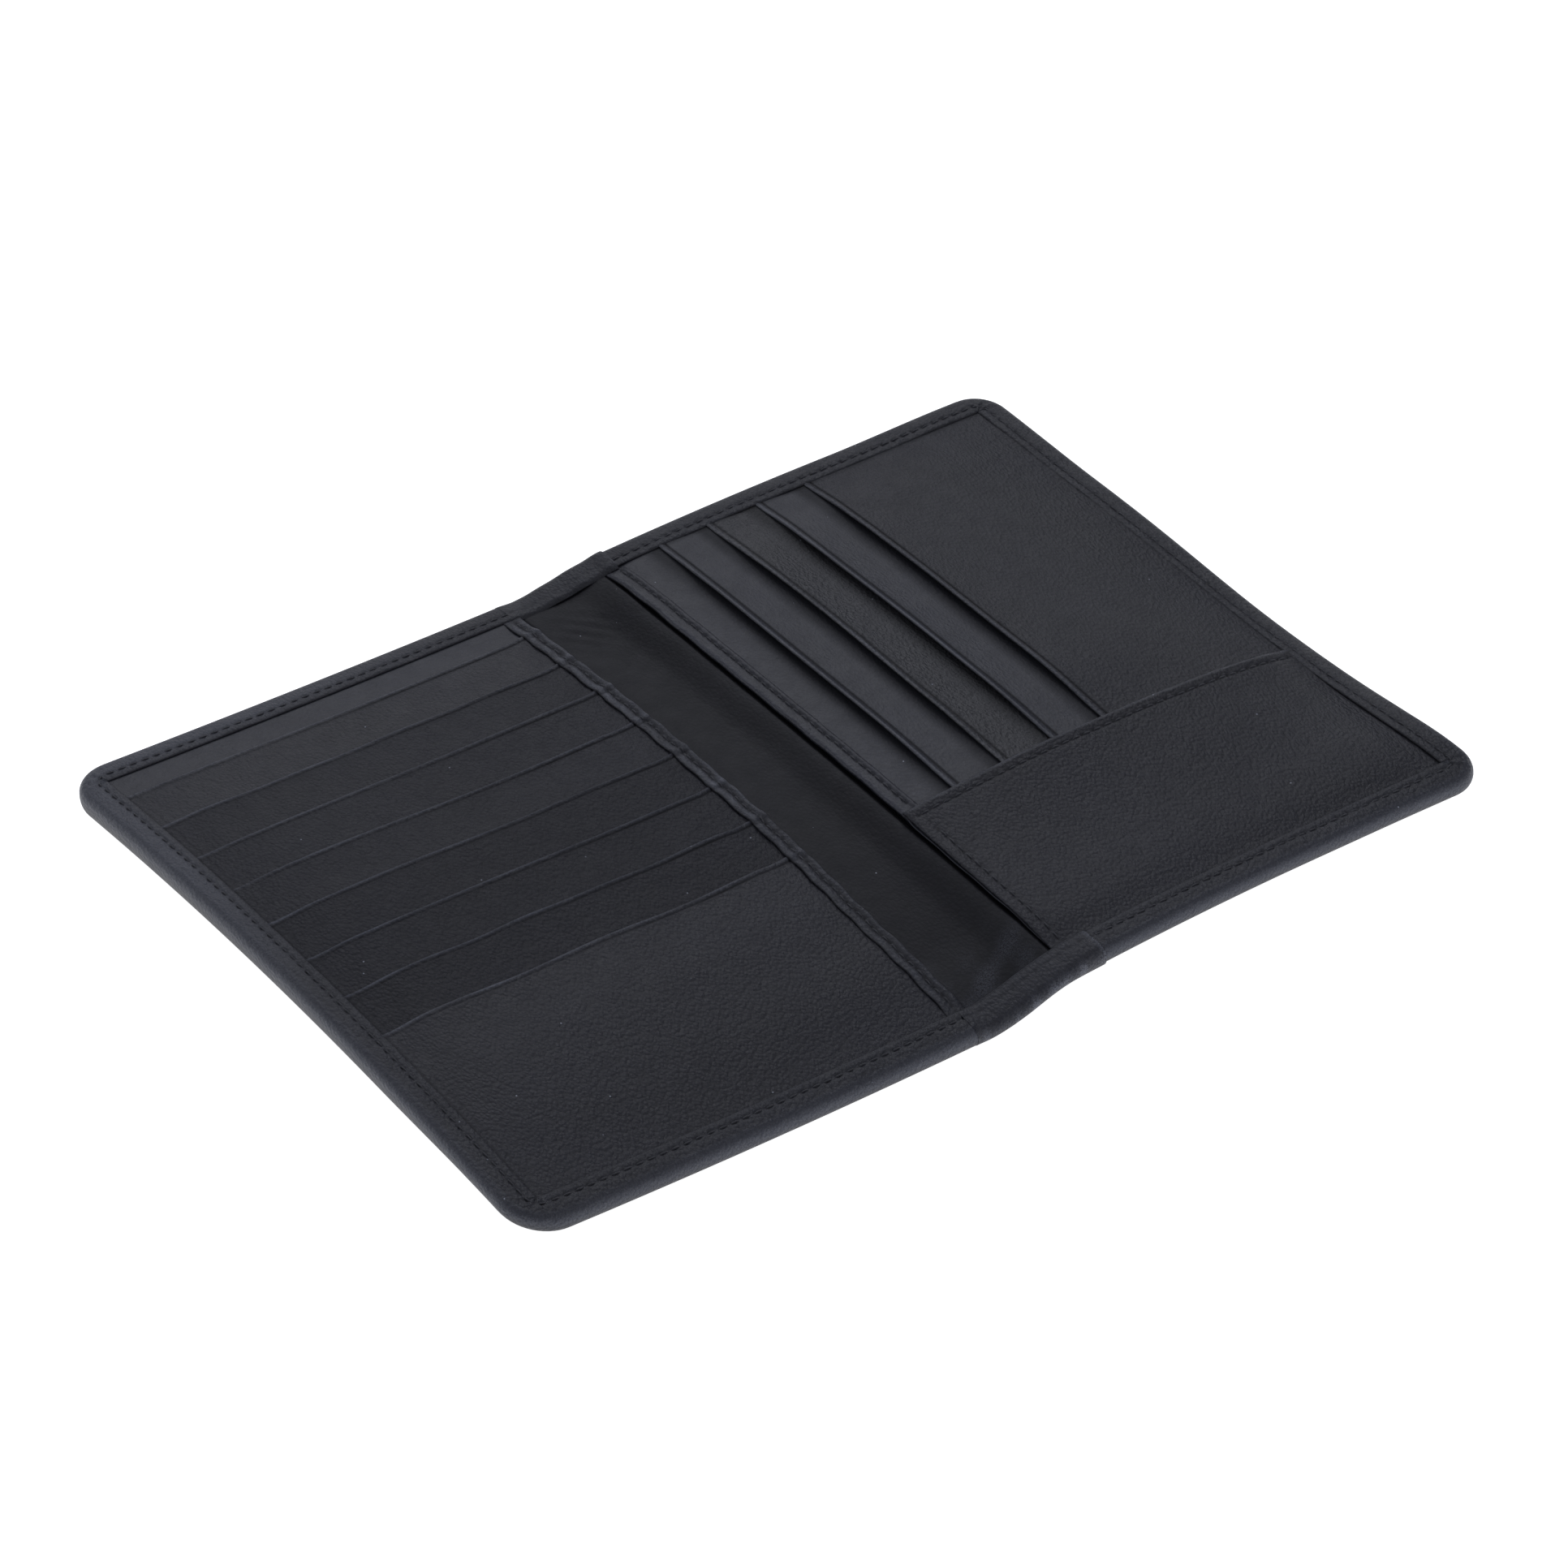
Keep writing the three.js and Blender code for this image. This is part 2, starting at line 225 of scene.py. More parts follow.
def settle(x, y):
    """How far the resting wallet stands above its flat pattern at (x, y)."""
    v = np.clip(y / HALF_WIDTH, -1, 1)
    across = smooth((x - LEFT_EDGE_X + 0.4) / (RIGHT_EDGE_X - LEFT_EDGE_X + 0.9))
    return left_curl(x, v) * (1 - across) + right_curl(x, v) * across - REST_DROP


# ---- mesh making ----

def grid_faces(start, columns, rows, flip=False):
    """Quads of a grid whose vertices are numbered row by row from start."""
    index = start + np.arange(columns * rows).reshape(columns, rows)
    corners = [index[:-1, :-1], index[1:, :-1], index[1:, 1:], index[:-1, 1:]]
    quads = np.stack([corner.ravel() for corner in corners], -1)
    return quads[:, ::-1] if flip else quads


def wall_faces(top_line, bottom_line):
    """Quads between two lines of vertex numbers."""
    return np.stack([top_line[:-1], bottom_line[:-1], bottom_line[1:], top_line[1:]], -1)


def placed(name, data):
    """A new object of the scene."""
    made = bpy.data.objects.new(name, data)
    bpy.context.scene.collection.objects.link(made)
    return made


class Solid:
    """Collects the vertices and faces of one piece, then welds them into a closed mesh."""

    def __init__(self):
        self.points = []
        self.wear_and_highlight = []
        self.painted_shade = []
        self.faces = []
        self.flat = []
        self.count = 0

    def add_points(self, points, wear_and_highlight=0.0, painted_shade=0.0):
        start = self.count
        self.points.append(points.reshape(-1, 3))
        self.wear_and_highlight.append(np.broadcast_to(wear_and_highlight, points.shape[:-1]).ravel())
        self.painted_shade.append(np.broadcast_to(painted_shade, points.shape[:-1]).ravel())
        self.count += self.points[-1].shape[0]
        return start

    def add_faces(self, faces, flat=False):
        self.faces.append(faces)
        self.flat.append(np.full(len(faces), flat))

    def add_slab(self, top, bottom, walls="abcd", wear_and_highlight=0.0, painted_shade=0.0, flip=False):
        """Two grids of points facing away from each other, joined by walls along the named sides."""
        columns, rows = top.shape[:2]
        first = self.add_points(top, wear_and_highlight, painted_shade)
        second = self.add_points(bottom)
        self.add_faces(grid_faces(first, columns, rows, flip))
        self.add_faces(grid_faces(second, columns, rows, not flip))
        index = np.arange(columns * rows).reshape(columns, rows)
        sides = {"a": index[::-1, 0], "b": index[-1, ::-1], "c": index[:, -1], "d": index[0]}
        for name in walls:
            line = sides[name]
            quads = wall_faces(first + line, second + line)
            self.add_faces(quads[:, ::-1] if flip else quads, flat=True)

    def build(self, name, material, weld=2e-6):
        mesh = bpy.data.meshes.new(name)
        points = np.concatenate(self.points)
        mesh.from_pydata(points * MM, [], np.concatenate(self.faces))
        mesh.polygons.foreach_set("use_smooth", ~np.concatenate(self.flat))
        pattern = mesh.attributes.new("pattern", "FLOAT_VECTOR", "POINT")
        pattern.data.foreach_set("vector", points.astype(np.float32).ravel())
        # per-point wear with painted highlight, and painted shade, for the leather shader
        for label, values in (("wear_and_highlight", self.wear_and_highlight), ("painted_shade", self.painted_shade)):
            attribute = mesh.attributes.new(label, "FLOAT", "POINT")
            attribute.data.foreach_set("value", np.concatenate(values).astype(np.float32))
        welder = bmesh.new()
        welder.from_mesh(mesh)
        bmesh.ops.remove_doubles(welder, verts=welder.verts, dist=weld)
        bmesh.ops.recalc_face_normals(welder, faces=welder.faces)
        for face in welder.faces:
            if not face.smooth:
                for edge in face.edges:
                    edge.smooth = False
        welder.to_mesh(mesh)
        welder.free()
        mesh.materials.append(material)
        return placed(name, mesh)


def lines(low, high, step, dense=(), edge=0.2):
    """Grid lines from low to high, closer at both ends and within reach of each dense place."""
    spots = list(np.linspace(low, high, max(2, int(math.ceil((high - low) / step)) + 1)))
    for share in (0.03, 0.13, 0.3, 0.6, 1.0):
        spots += [low + share * edge, high - share * edge]
    for centre, reach, spacing in dense:
        spots += list(np.arange(centre - reach, centre + reach + spacing / 2, spacing))
    spots = sorted(spot for spot in spots if low < spot < high)
    kept = [low]
    for spot in spots:
        if spot - kept[-1] > 0.004 and high - spot > 0.004:
            kept.append(spot)
    return np.array(kept + [high])


CORNER_DRAWN_X = 0.95  # the near right corner has been pulled out this much in X and Y
CORNER_DRAWN_Y = -0.2


def lay(x, y, z):
    """Flat pattern coordinates to the resting wallet, with its near right corner drawn out."""
    drawn = smooth((x - 80) / 24) * smooth((-y - 50) / 22)
    return np.stack([x + CORNER_DRAWN_X * drawn, y + CORNER_DRAWN_Y * drawn, z + settle(x, y)], -1)


def hem_shade(x, y):
    """Shade in the seam where a panel runs in under the hem."""
    gap_x = np.maximum(WINDOW_X - np.abs(x), 0)
    gap_y = np.maximum(WINDOW_Y - np.abs(y), 0)
    return 0.36 * np.maximum(bump(gap_x, 0.28), bump(gap_y, 0.28))


def shades(wear_and_highlight, painted_shade):
    """Wear with painted highlight, and painted shade, each kept between 0 and 1."""
    return np.clip(wear_and_highlight, 0, 1), np.clip(painted_shade, 0, 1)


def lip_shade(ahead):
    """Shade beside a lifted mouth that lies this far ahead."""
    return 0.55 * smooth((3.6 - ahead) / 3.0)


def sheet(name, xs, ys, top, bottom, material, shift=None, marks=None):
    """A closed panel with rounded edges between two height functions of the flat pattern."""
    x, y = np.meshgrid(xs, ys, indexing="ij")
    high = top(x, y)
    low = bottom(x, y)
    middle = (high + low) / 2
    radius = np.maximum((high - low) / 2, 0.02)
    inset = np.minimum.reduce([x - xs[0], xs[-1] - x, y - ys[0], ys[-1] - y])
    share = np.clip(inset / radius, 0, 1)
    share = np.sqrt(1 - (1 - share) ** 2)
    wear_and_highlight, painted_shade = marks(x, y) if marks else (0.0, 0.0)
    painted_shade = np.clip(painted_shade + hem_shade(x, y), 0, 1)
    placed_x, placed_y = shift(x, y) if shift else (x, y)
    solid = Solid()
    solid.add_slab(
        lay(placed_x, placed_y, middle + (high - middle) * share),
        lay(placed_x, placed_y, middle + (low - middle) * share),
        walls="",
        wear_and_highlight=wear_and_highlight,
        painted_shade=painted_shade,
    )
    return solid.build(name, material)


# ---- materials ----

def set_inputs(tree, target, inputs):
    """Link each socket given, and set each plain number or colour on target's own socket."""
    for key, value in inputs.items():
        if isinstance(value, bpy.types.NodeSocket):
            tree.links.new(value, target.inputs[key])
        else:
            target.inputs[key].default_value = value


def node(tree, kind, inputs=None, **settings):
    made = tree.nodes.new("ShaderNode" + kind)
    for key, value in settings.items():
        setattr(made, key, value)
    set_inputs(tree, made, inputs or {})
    return made


def worked_out(tree, kind, operation, inputs):
    """Socket with the result of a Math or VectorMath operation."""
    return node(tree, kind, inputs, operation=operation).outputs[0]


def mapped(tree, value, start, end, low, high):
    """Socket that goes from low to high as value goes from start to end."""
    inputs = {"Value": value, 1: start, 2: end, 3: low, 4: high}
    return node(tree, "MapRange", inputs).outputs[0]


def mixed(tree, share, first, second):
    """Colour socket that goes from first to second as share rises."""
    return node(tree, "Mix", {0: share, 6: first, 7: second}, data_type="RGBA").outputs[2]


def noise(tree, vector, scale, detail):
    return node(tree, "TexNoise", {"Vector": vector, "Scale": scale, "Detail": detail})


def blank_material(name):
    material = bpy.data.materials.new(name)
    material.use_nodes = True
    tree = material.node_tree
    shader = tree.nodes["Principled BSDF"]
    return material, tree, shader


# lighter colour of rubbed edges, also used for painted highlights on ridges, mouths and rims
WEAR_AND_HIGHLIGHT_COLOUR = (0.084, 0.090, 0.112, 1.0)
# colour of the painted shade in creases, seams, stitch holes and beside lifted edges
PAINTED_SHADE_COLOUR = (0.0012, 0.0013, 0.0016, 1.0)
LINT_COLOUR = (0.34, 0.36, 0.42, 1.0)
STAIN_TINT = (0.125, 0.15, 0.2125)  # the soft stains are this much lighter and bluer
GRAIN_DEPTH = 0.14 * MM
TWIST_DEPTH = 0.08 * MM
THREAD_DARK = (0.009, 0.0095, 0.013, 1)
THREAD_LIGHT = (0.034, 0.036, 0.046, 1)


def leather(name, colour, roughness=0.5, grain=1.0, seed=0.0, shine=0.4, rub=(0.6, 1.2)):
    """Dark aniline leather: pebbled grain, pores, soft stains, rubbed edges with painted highlights,
    and painted shade in creases, seams and stitch holes.

    grain scales the relief, shine is the specular level, and rub says how patchy the wear and the
    painted highlights are.
    """
    material, tree, shader = blank_material(name)
    pattern = node(tree, "Attribute", attribute_name="pattern").outputs["Vector"]
    place = worked_out(tree, "VectorMath", "ADD", {0: pattern, 1: (seed, seed * 1.7, 0.0)})
    stretch = worked_out(tree, "VectorMath", "MULTIPLY", {0: place, 1: (1.0, 0.72, 1.0)})
    warp = noise(tree, stretch, 1.5, 3.0)
    warp_inputs = {0: warp.outputs["Color"], 1: (0.5, 0.5, 0.5), 2: stretch}
    warped = worked_out(tree, "VectorMath", "MULTIPLY_ADD", warp_inputs)
    pebbles = node(tree, "TexVoronoi", {"Vector": warped, "Scale": 1.7}, feature="F1")
    fine = noise(tree, place, 4.5, 4.0)
    broad = noise(tree, place, 0.045, 3.0)
    patches = noise(tree, place, 0.25, 4.0)

    wear_and_highlight = node(tree, "Attribute", attribute_name="wear_and_highlight").outputs["Fac"]
    painted_shade = node(tree, "Attribute", attribute_name="painted_shade").outputs["Fac"]
    base = node(tree, "ValToRGB", {"Fac": broad.outputs["Fac"]})
    base.color_ramp.elements[0].position = 0.3
    base.color_ramp.elements[0].color = tuple(c * 0.92 for c in colour) + (1,)
    base.color_ramp.elements[1].position = 0.7
    base.color_ramp.elements[1].color = tuple(c * (1 + t) for c, t in zip(colour, STAIN_TINT)) + (1,)
    pores = mapped(tree, pebbles.outputs["Distance"], 0.15, 0.75, 1.1, 0.72)
    pored = worked_out(tree, "VectorMath", "SCALE", {0: base.outputs["Color"], "Scale": pores})
    lint = node(tree, "TexVoronoi", {"Vector": place, "Scale": 0.17}, feature="F1")
    speck = mapped(tree, lint.outputs["Distance"], 0.016, 0.03, 0.8, 0.0)
    patchy_breakup = mapped(tree, fine.outputs["Fac"], 0.38, 0.62, *rub)
    wear_and_highlight = worked_out(tree, "Math", "MULTIPLY", {0: wear_and_highlight, 1: patchy_breakup})
    # wear and painted highlights lighten the colour where the wear and highlight amount is set
    worn_and_highlit = mixed(tree, wear_and_highlight, pored, WEAR_AND_HIGHLIGHT_COLOUR)
    # painted shade darkens the colour where the painted shade amount is set
    with_painted_shade = mixed(tree, painted_shade, worn_and_highlit, PAINTED_SHADE_COLOUR)
    dusty = mixed(tree, speck, with_painted_shade, LINT_COLOUR)

    gloss = mapped(tree, patches.outputs["Fac"], 0.3, 0.7, roughness - 0.025, roughness + 0.03)
    dull = worked_out(tree, "Math", "MULTIPLY_ADD", {0: painted_shade, 1: 0.4, 2: gloss})
    pits = worked_out(tree, "Math", "MULTIPLY", {0: pebbles.outputs["Distance"], 1: -1.0})
    relief = worked_out(tree, "Math", "MULTIPLY_ADD", {0: fine.outputs["Fac"], 1: 0.55, 2: pits})
    bumps = node(tree, "Bump", {"Height": relief, "Distance": GRAIN_DEPTH * grain})
    set_inputs(tree, shader, {
        "Base Color": dusty,
        "Roughness": dull,
        "Normal": bumps.outputs["Normal"],
        "Specular IOR Level": shine,
        "Sheen Weight": 0.02,
        "Sheen Roughness": 0.5,
    })
    return material


def thread_material():
    """Twisted black sewing thread."""
    material, tree, shader = blank_material("thread")
    pattern = node(tree, "Attribute", attribute_name="pattern").outputs["Vector"]
    twist = node(
        tree, "TexWave",
        {"Vector": pattern, "Scale": 2.6, "Distortion": 1.5, "Detail": 2.0},
        bands_direction="DIAGONAL",
    )
    shade = node(tree, "ValToRGB", {"Fac": twist.outputs["Fac"]})
    shade.color_ramp.elements[0].color = THREAD_DARK
    shade.color_ramp.elements[1].color = THREAD_LIGHT
    bumps = node(tree, "Bump", {"Height": twist.outputs["Fac"], "Distance": TWIST_DEPTH})
    set_inputs(tree, shader, {
        "Base Color": shade.outputs["Color"],
        "Normal": bumps.outputs["Normal"],
        "Roughness": 0.7,
        "Sheen Weight": 0.1,
    })
    return material


COVER_COLOUR = (0.0078, 0.0082, 0.0132)
PANEL_COLOUR = (0.0062, 0.0062, 0.0106)
LOW_STRIP_COLOUR = (0.0052, 0.0052, 0.0088)
STRIP_COLOUR = (0.0058, 0.0058, 0.0100)
# smooth leather; its lighter, bluer colour is partly painted reflection of the cool sky on the smooth
# panels
SMOOTH_COLOUR = (0.0078, 0.0086, 0.0150)
GRAINY_COLOUR = (0.0080, 0.0082, 0.0112)
LINING_COLOUR = (0.0034, 0.0035, 0.0056)

COVER = leather("cover_leather", COVER_COLOUR)
PANEL = leather("panel_leather", PANEL_COLOUR, 0.49, grain=0.95, seed=31.0, shine=0.36)
LOW_STRIP = leather("low_strip_leather", LOW_STRIP_COLOUR, 0.51, grain=1.05, seed=17.0, shine=0.26)
STRIP = leather("strip_leather", STRIP_COLOUR, grain=1.05, seed=91.0, shine=0.29)
SMOOTH = leather("smooth_leather", SMOOTH_COLOUR, 0.46, grain=0.45, seed=77.0, shine=0.38)
GRAINY = leather("grainy_leather", GRAINY_COLOUR, 0.46, grain=1.1, seed=53.0, shine=0.46)
LINING = leather(
    "spine_leather", LINING_COLOUR, 0.54, grain=0.35, seed=12.0, shine=0.2, rub=(0.0, 2.6)
)
TAB = leather("tab_leather", COVER_COLOUR, rub=(0.15, 1.7))
THREAD = thread_material()


def take_place(piece, body, node_name):
    """A rigid piece rides on its body in the place of one CAD node."""
    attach(piece, body)
    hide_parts(node_name)


# ---- sewing ----

def stitch_row(name, routes, surface, body, node_name):
    """Short threads sunk into their holes along routes of flat pattern points."""
    sides = 6
    ends = np.linspace(0, 1, 7)
    ring = 2 * math.pi * np.arange(sides) / sides
    solid = Solid()
    for route in routes:
        length = distances(route)
        for first in np.arange(0, length[-1] - STITCH_PITCH, STITCH_PITCH):
            at = first + STITCH_PITCH * (0.1 + 0.8 * ends)
            x = np.interp(at, length, route[:, 0])
            y = np.interp(at, length, route[:, 1])
            arch = THREAD_ARCH * np.sin(math.pi * ends)
            centre = lay(x, y, surface(x, y) + arch - THREAD_SINK)
            along = np.gradient(centre, axis=0)
            along /= np.linalg.norm(along, axis=1)[:, None]
            across = np.cross(along, (0, 0, 1.0))
            up = np.cross(across, along)
            taper = np.sqrt(np.clip(1 - (2 * ends - 1) ** 4, 0.02, 1))
            radius = THREAD_RADIUS * taper[:, None, None]
            offsets = across[:, None] * np.cos(ring)[None, :, None]
            offsets = offsets + up[:, None] * np.sin(ring)[None, :, None]
            points = centre[:, None] + radius * offsets
            start = solid.add_points(points)
            index = start + np.arange(points.shape[0] * sides).reshape(-1, sides)
            after = np.roll(index, -1, axis=1)
            quads = np.stack([index[:-1], index[1:], after[1:], after[:-1]], -1).reshape(-1, 4)
            solid.add_faces(quads)
            for tip in (index[0], index[-1][::-1]):
                halves = [[tip[0], tip[1], tip[2], tip[3]], [tip[0], tip[3], tip[4], tip[5]]]
                solid.add_faces(np.array(halves))
    piece = solid.build(name, THREAD, weld=1e-8)
    take_place(piece, body, node_name)


def first_hole(limit):
    """The highest stitch end that is not past limit."""
    return math.floor(limit / STITCH_PITCH) * STITCH_PITCH


def at_hole(along):
    """1 at every stitch end along a row, fading quickly between them."""
    phase = (along / STITCH_PITCH) % 1.0
    nearest = np.minimum(phase, 1 - phase) * STITCH_PITCH
    return bump(nearest, 0.36)


def holes(along, across, depth=0.3):
    """Pull of a stitch row on the leather: a shallow channel with a hole at every stitch end."""
    return -0.08 * bump(across, 0.6) - depth * bump(across, 0.3) * at_hole(along)


def hole_shade(along, across):
    """Painted shade in the same channel and holes."""
    return 0.6 * bump(across, 0.28) * at_hole(along) + 0.08 * bump(across, 0.6)


# ---- outer leather ----

UPPER_Z = RIM_Z * 0.6  # the rim above this height belongs to the turned-over hem
TOP_Z = 3.0  # and above this one to its flat top
HEM_RAGGED = 0.05
PLEAT_HEIGHT = 0.13
EDGE_DROOP = 1.6  # the left outer edge is fuller below, where it stands off the surface
SPINE_LOW = 0.86  # the leather is thinner at the spine, where no hem is turned in


def spine_share(x):
    """Share of the rim's full height that the leather has at x."""
    return grow(SPINE_LOW, (abs(x - SPINE_MIDDLE) - 7.5) / 4)


def rim_arc(count):
    """The round edge from the underside over to the top, as (inset, height) points."""
    half = RIM_Z / 2
    turn = np.radians(np.linspace(-90, 90, count))
    return [(half - half * math.cos(a) * 0.95, half + half * math.sin(a)) for a in turn]


def rim_profile():
    """Outer and inner faces of the turned edge, as matching (inset, height) points."""
    outer = [(HEM_WIDTH, 0.0), (4.2, 0.0), (3.0, 0.0)] + rim_arc(13)
    row = HEM_STITCH_INSET
    swell = 0.06
    outer += [(d, RIM_Z + swell * math.sin((d - RIM_Z / 2) * 0.7)) for d in (2.3, 2.8, 3.3, 3.7)]
    outer += [(row + d, RIM_Z + 0.04) for d in (-0.35, -0.2, 0.0, 0.2, 0.35)]
    outer += [(5.0, RIM_Z + 0.03), (5.4, RIM_Z), (5.8, RIM_Z - 0.04), (6.02, RIM_Z - 0.11)]
    outer += [(6.15, RIM_Z - 0.2), (6.2, RIM_Z - 0.3)]
    corners = [(HEM_WIDTH, COVER_THICKNESS), (2.0, COVER_THICKNESS), (1.5, 1.5), (1.4, 2.4)]
    corners += [(1.8, 3.05), (5.6, 3.14), (6.12, 3.2)]
    outer = np.array(outer)
    corners = np.array(corners)
    spots = np.linspace(0, len(corners) - 1, len(outer))
    inner = [np.interp(spots, range(len(corners)), corners[:, axis]) for axis in (0, 1)]
    return outer, np.stack(inner, -1)


OUTLINE_STEP = 0.6


def outline_runs(side):
    """Start of one half's edge, and the shares at which its side, corner and end are stepped."""
    start = side * SPINE_MIDDLE
    straight = HALF_LENGTH - CORNER_RADIUS[side] - start
    tall = 2 * (HALF_WIDTH - CORNER_RADIUS[side])
    count_x = int(round(straight / OUTLINE_STEP))
    count_y = int(round(tall / OUTLINE_STEP))
    shares = [np.linspace(0, 1, count) for count in (count_x + 1, 15, count_y + 1)]
    return start, *shares


def outline_ring(side, inset):
    """Points at one inset all along one half's edge, in X that is mirrored for the left half."""
    start, share_x, share_c, share_y = outline_runs(side)
    radius = CORNER_RADIUS[side] * max(0.0, 1 - inset / HEM_WIDTH)
    end_x = HALF_LENGTH - inset - radius
    end_y = HALF_WIDTH - inset - radius
    far = np.stack([start + (end_x - start) * share_x, np.full_like(share_x, end_y + radius)], -1)
    angle = math.pi / 2 * (1 - share_c[1:])
    corner = np.stack([end_x + radius * np.cos(angle), end_y + radius * np.sin(angle)], -1)
    down = end_y - 2 * end_y * share_y[1:]
    outer = np.stack([np.full_like(down, end_x + radius), down], -1)
    near_corner = corner[::-1][1:] * (1, -1)
    last = np.array([[end_x, -end_y - radius]])
    near = far[::-1][1:] * (1, -1)
    return np.concatenate([far, corner, outer, near_corner, last, near])


def blend_part(piece):
    """Bake a piece's placement into its mesh."""
    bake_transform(piece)


def outer_leather(side, replaced):
    """One half of the cover with its turned and stitched hem, up to the middle of the spine."""
    outer, inner = rim_profile()
    row_ring = outline_ring(side, HEM_STITCH_INSET)
    along = distances(row_ring)
    ragged = ripples(41 + side, [3.1, 5.3, 9.7, 23.0])(along)
    _, share_x, share_c, share_y = outline_runs(side)
    first = len(share_x)
    turning = np.zeros(len(along))
    span = len(share_c) - 1
    middle = first + span // 2
    for centre in (middle, len(along) - 1 - middle):
        turning = turning + bump(np.arange(len(along)) - centre, span * 0.5)

    def ring(inset, height, upper, is_outer):
        points = outline_ring(side, inset)
        x = side * points[:, 0]
        y = points[:, 1]
        z = np.full(len(x), height)
        if upper:
            hem = smooth((inset - 1.6) / 1.0) * smooth((6.3 - inset) / 0.5)
            z = z + holes(along, inset - HEM_STITCH_INSET)
            z = z + hem * HEM_RAGGED * ragged
            z = z + turning * hem * PLEAT_HEIGHT * np.sin(along * 5.2)
        lower_lip = 1 - min(1.0, max(height, 0) / UPPER_Z) if is_outer else 0.0
        low_edge = lower_lip * smooth(1 - inset / HEM_WIDTH)
        droop = EDGE_DROOP * low_edge * smooth((-x - 65) / 34) * smooth((y + HALF_WIDTH - 4) / 40)
        return x, y, z * spine_share(x) - droop

    solid = Solid()
    grids = []
    marks = []
    for profile, upper in ((outer, True), (inner, False)):
        rings = []
        for inset, height in profile:
            is_top = upper and height > UPPER_Z
            x, y, z = ring(inset, height, is_top, upper)
            rings.append(lay(x, y, z))
            if upper:
                on_top = height > TOP_Z
                # Marks of the hem: rim wear along the round edge, lighter on the left and near sides
                # by painted light, a painted highlight on the far-left hem top, and painted shade in
                # the stitch holes and along the hem's inner edge.
                lit_sides = np.clip(smooth((-x - 60) / 35) + smooth((-y - 50) / 18), 0, 1)
                rim = (0.2 + 0.5 * lit_sides) * bump(height - RIM_Z * 0.66, 1.05) * (inset < 1.9)
                far_left_highlight = smooth((-x - 10) / 60) * smooth((y + 20) / 60)
                rim = rim + 0.5 * far_left_highlight * on_top * bump(inset - 3, 2.2)
                pleats = turning * bump(inset - 5.3, 0.7) * np.clip(ragged, 0, 1)
                rim = rim + 0.5 * on_top * pleats
                stitched = hole_shade(along, inset - HEM_STITCH_INSET) * is_top
                inner_edge_shade = 0.42 * smooth((inset - 5.95) / 0.25) * (0.8 + 0.2 * ragged) * on_top
                marks.append(shades(rim, stitched + inner_edge_shade))
        grids.append(np.array(rings))
    wear_and_highlight = np.array([m[0] for m in marks])
    painted_shade = np.array([m[1] for m in marks])
    # rings run from the middle of the underside outwards and over; flip keeps the faces outwards
    solid.add_slab(grids[0], grids[1], walls="abc", wear_and_highlight=wear_and_highlight, painted_shade=painted_shade, flip=side > 0)

    window = outline_ring(side, HEM_WIDTH)
    xs = side * window[:first, 0]
    ys = WINDOW_Y - 2 * WINDOW_Y * share_y
    x, y = np.meshgrid(xs, ys, indexing="ij")
    floor = np.full(x.shape, COVER_THICKNESS) * spine_share(x)
    solid.add_slab(lay(x, y, floor), lay(x, y, 0 * x), walls="d", flip=side > 0)
    half_name = HALF_NAME[side]
    piece = solid.build(f"outer_leather_{half_name}", COVER)
    blend_part(piece)
    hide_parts(*replaced)

    visible = abs(row_ring[:, 0] * side - SPINE_MIDDLE) > 11
    route = np.stack([side * row_ring[:, 0], row_ring[:, 1]], -1)[visible]
    stitch_row(
        f"hem_threads_{half_name}", [route],
        lambda x, y: (RIM_Z + 0.04) * spine_share(x),
        f"{half_name}_half", f"hem_stitching_{half_name}",
    )


def add_outer_leather():
    outer_leather(-1, ("cover_left", "cover_spine", "board_left"))
    outer_leather(1, ("cover_right", "board_right"))


# ---- spine lining and tabs ----

LINING_REACH = 12.0  # the lining runs this far in under each pocket panel
LINING_THICKNESS = 0.6
LINING_LIFT = 0.75  # the lining's top lies this far over its flat place in the CAD
TAB_LEFT_X = SPINE_MIDDLE - 11.7
TAB_RIGHT_X = {1: SPINE_MIDDLE + 11.7, -1: SPINE_MIDDLE + 15.6}  # far and near tab
TAB_THICKNESS = 0.24  # grown over the length of the tab from its pared left end
TAB_PARED = 0.06
TAB_GAP = 0.03  # between the tab and the hem under it
EDGE_RUB = {1: 0.35, -1: 1.0}  # the near tab is rubbed more than the far one
END_RUB = {1: 0.4, -1: 1.0}


def lining_height(x, y):
    """Top of the spine lining, raised towards both ends and beside the passport pocket's edge."""
    wrinkles = ripples(5, [7.0, 11.0, 17.0])(x + 0.6 * y, y * 0.3)
    far_end = smooth((y - 25) / 40)
    sag = -0.25 * bump(x - SPINE_MIDDLE, 7)
    ends = 0.75 * smooth((abs(y) - 50) / 14)
    beside_edge = 1.1 * smooth((x - RIGHT_EDGE_X + 8) / 7) * (1 - 0.85 * smooth((abs(y) - 54) / 12))
    seen = smooth((x - LEFT_EDGE_X + 0.6) / 1.4) * smooth((RIGHT_EDGE_X + 0.6 - x) / 1.4)
    folds = np.sin((0.8 * x + 0.6 * y) * 2.4 + wrinkles) * bump(y - 56, 6) * bump(x + 2, 5)
    raised = (ends + beside_edge + 0.07 * folds) * seen
    return LINING_Z + LINING_LIFT + sag + raised + wrinkles * (0.03 + 0.08 * far_end)


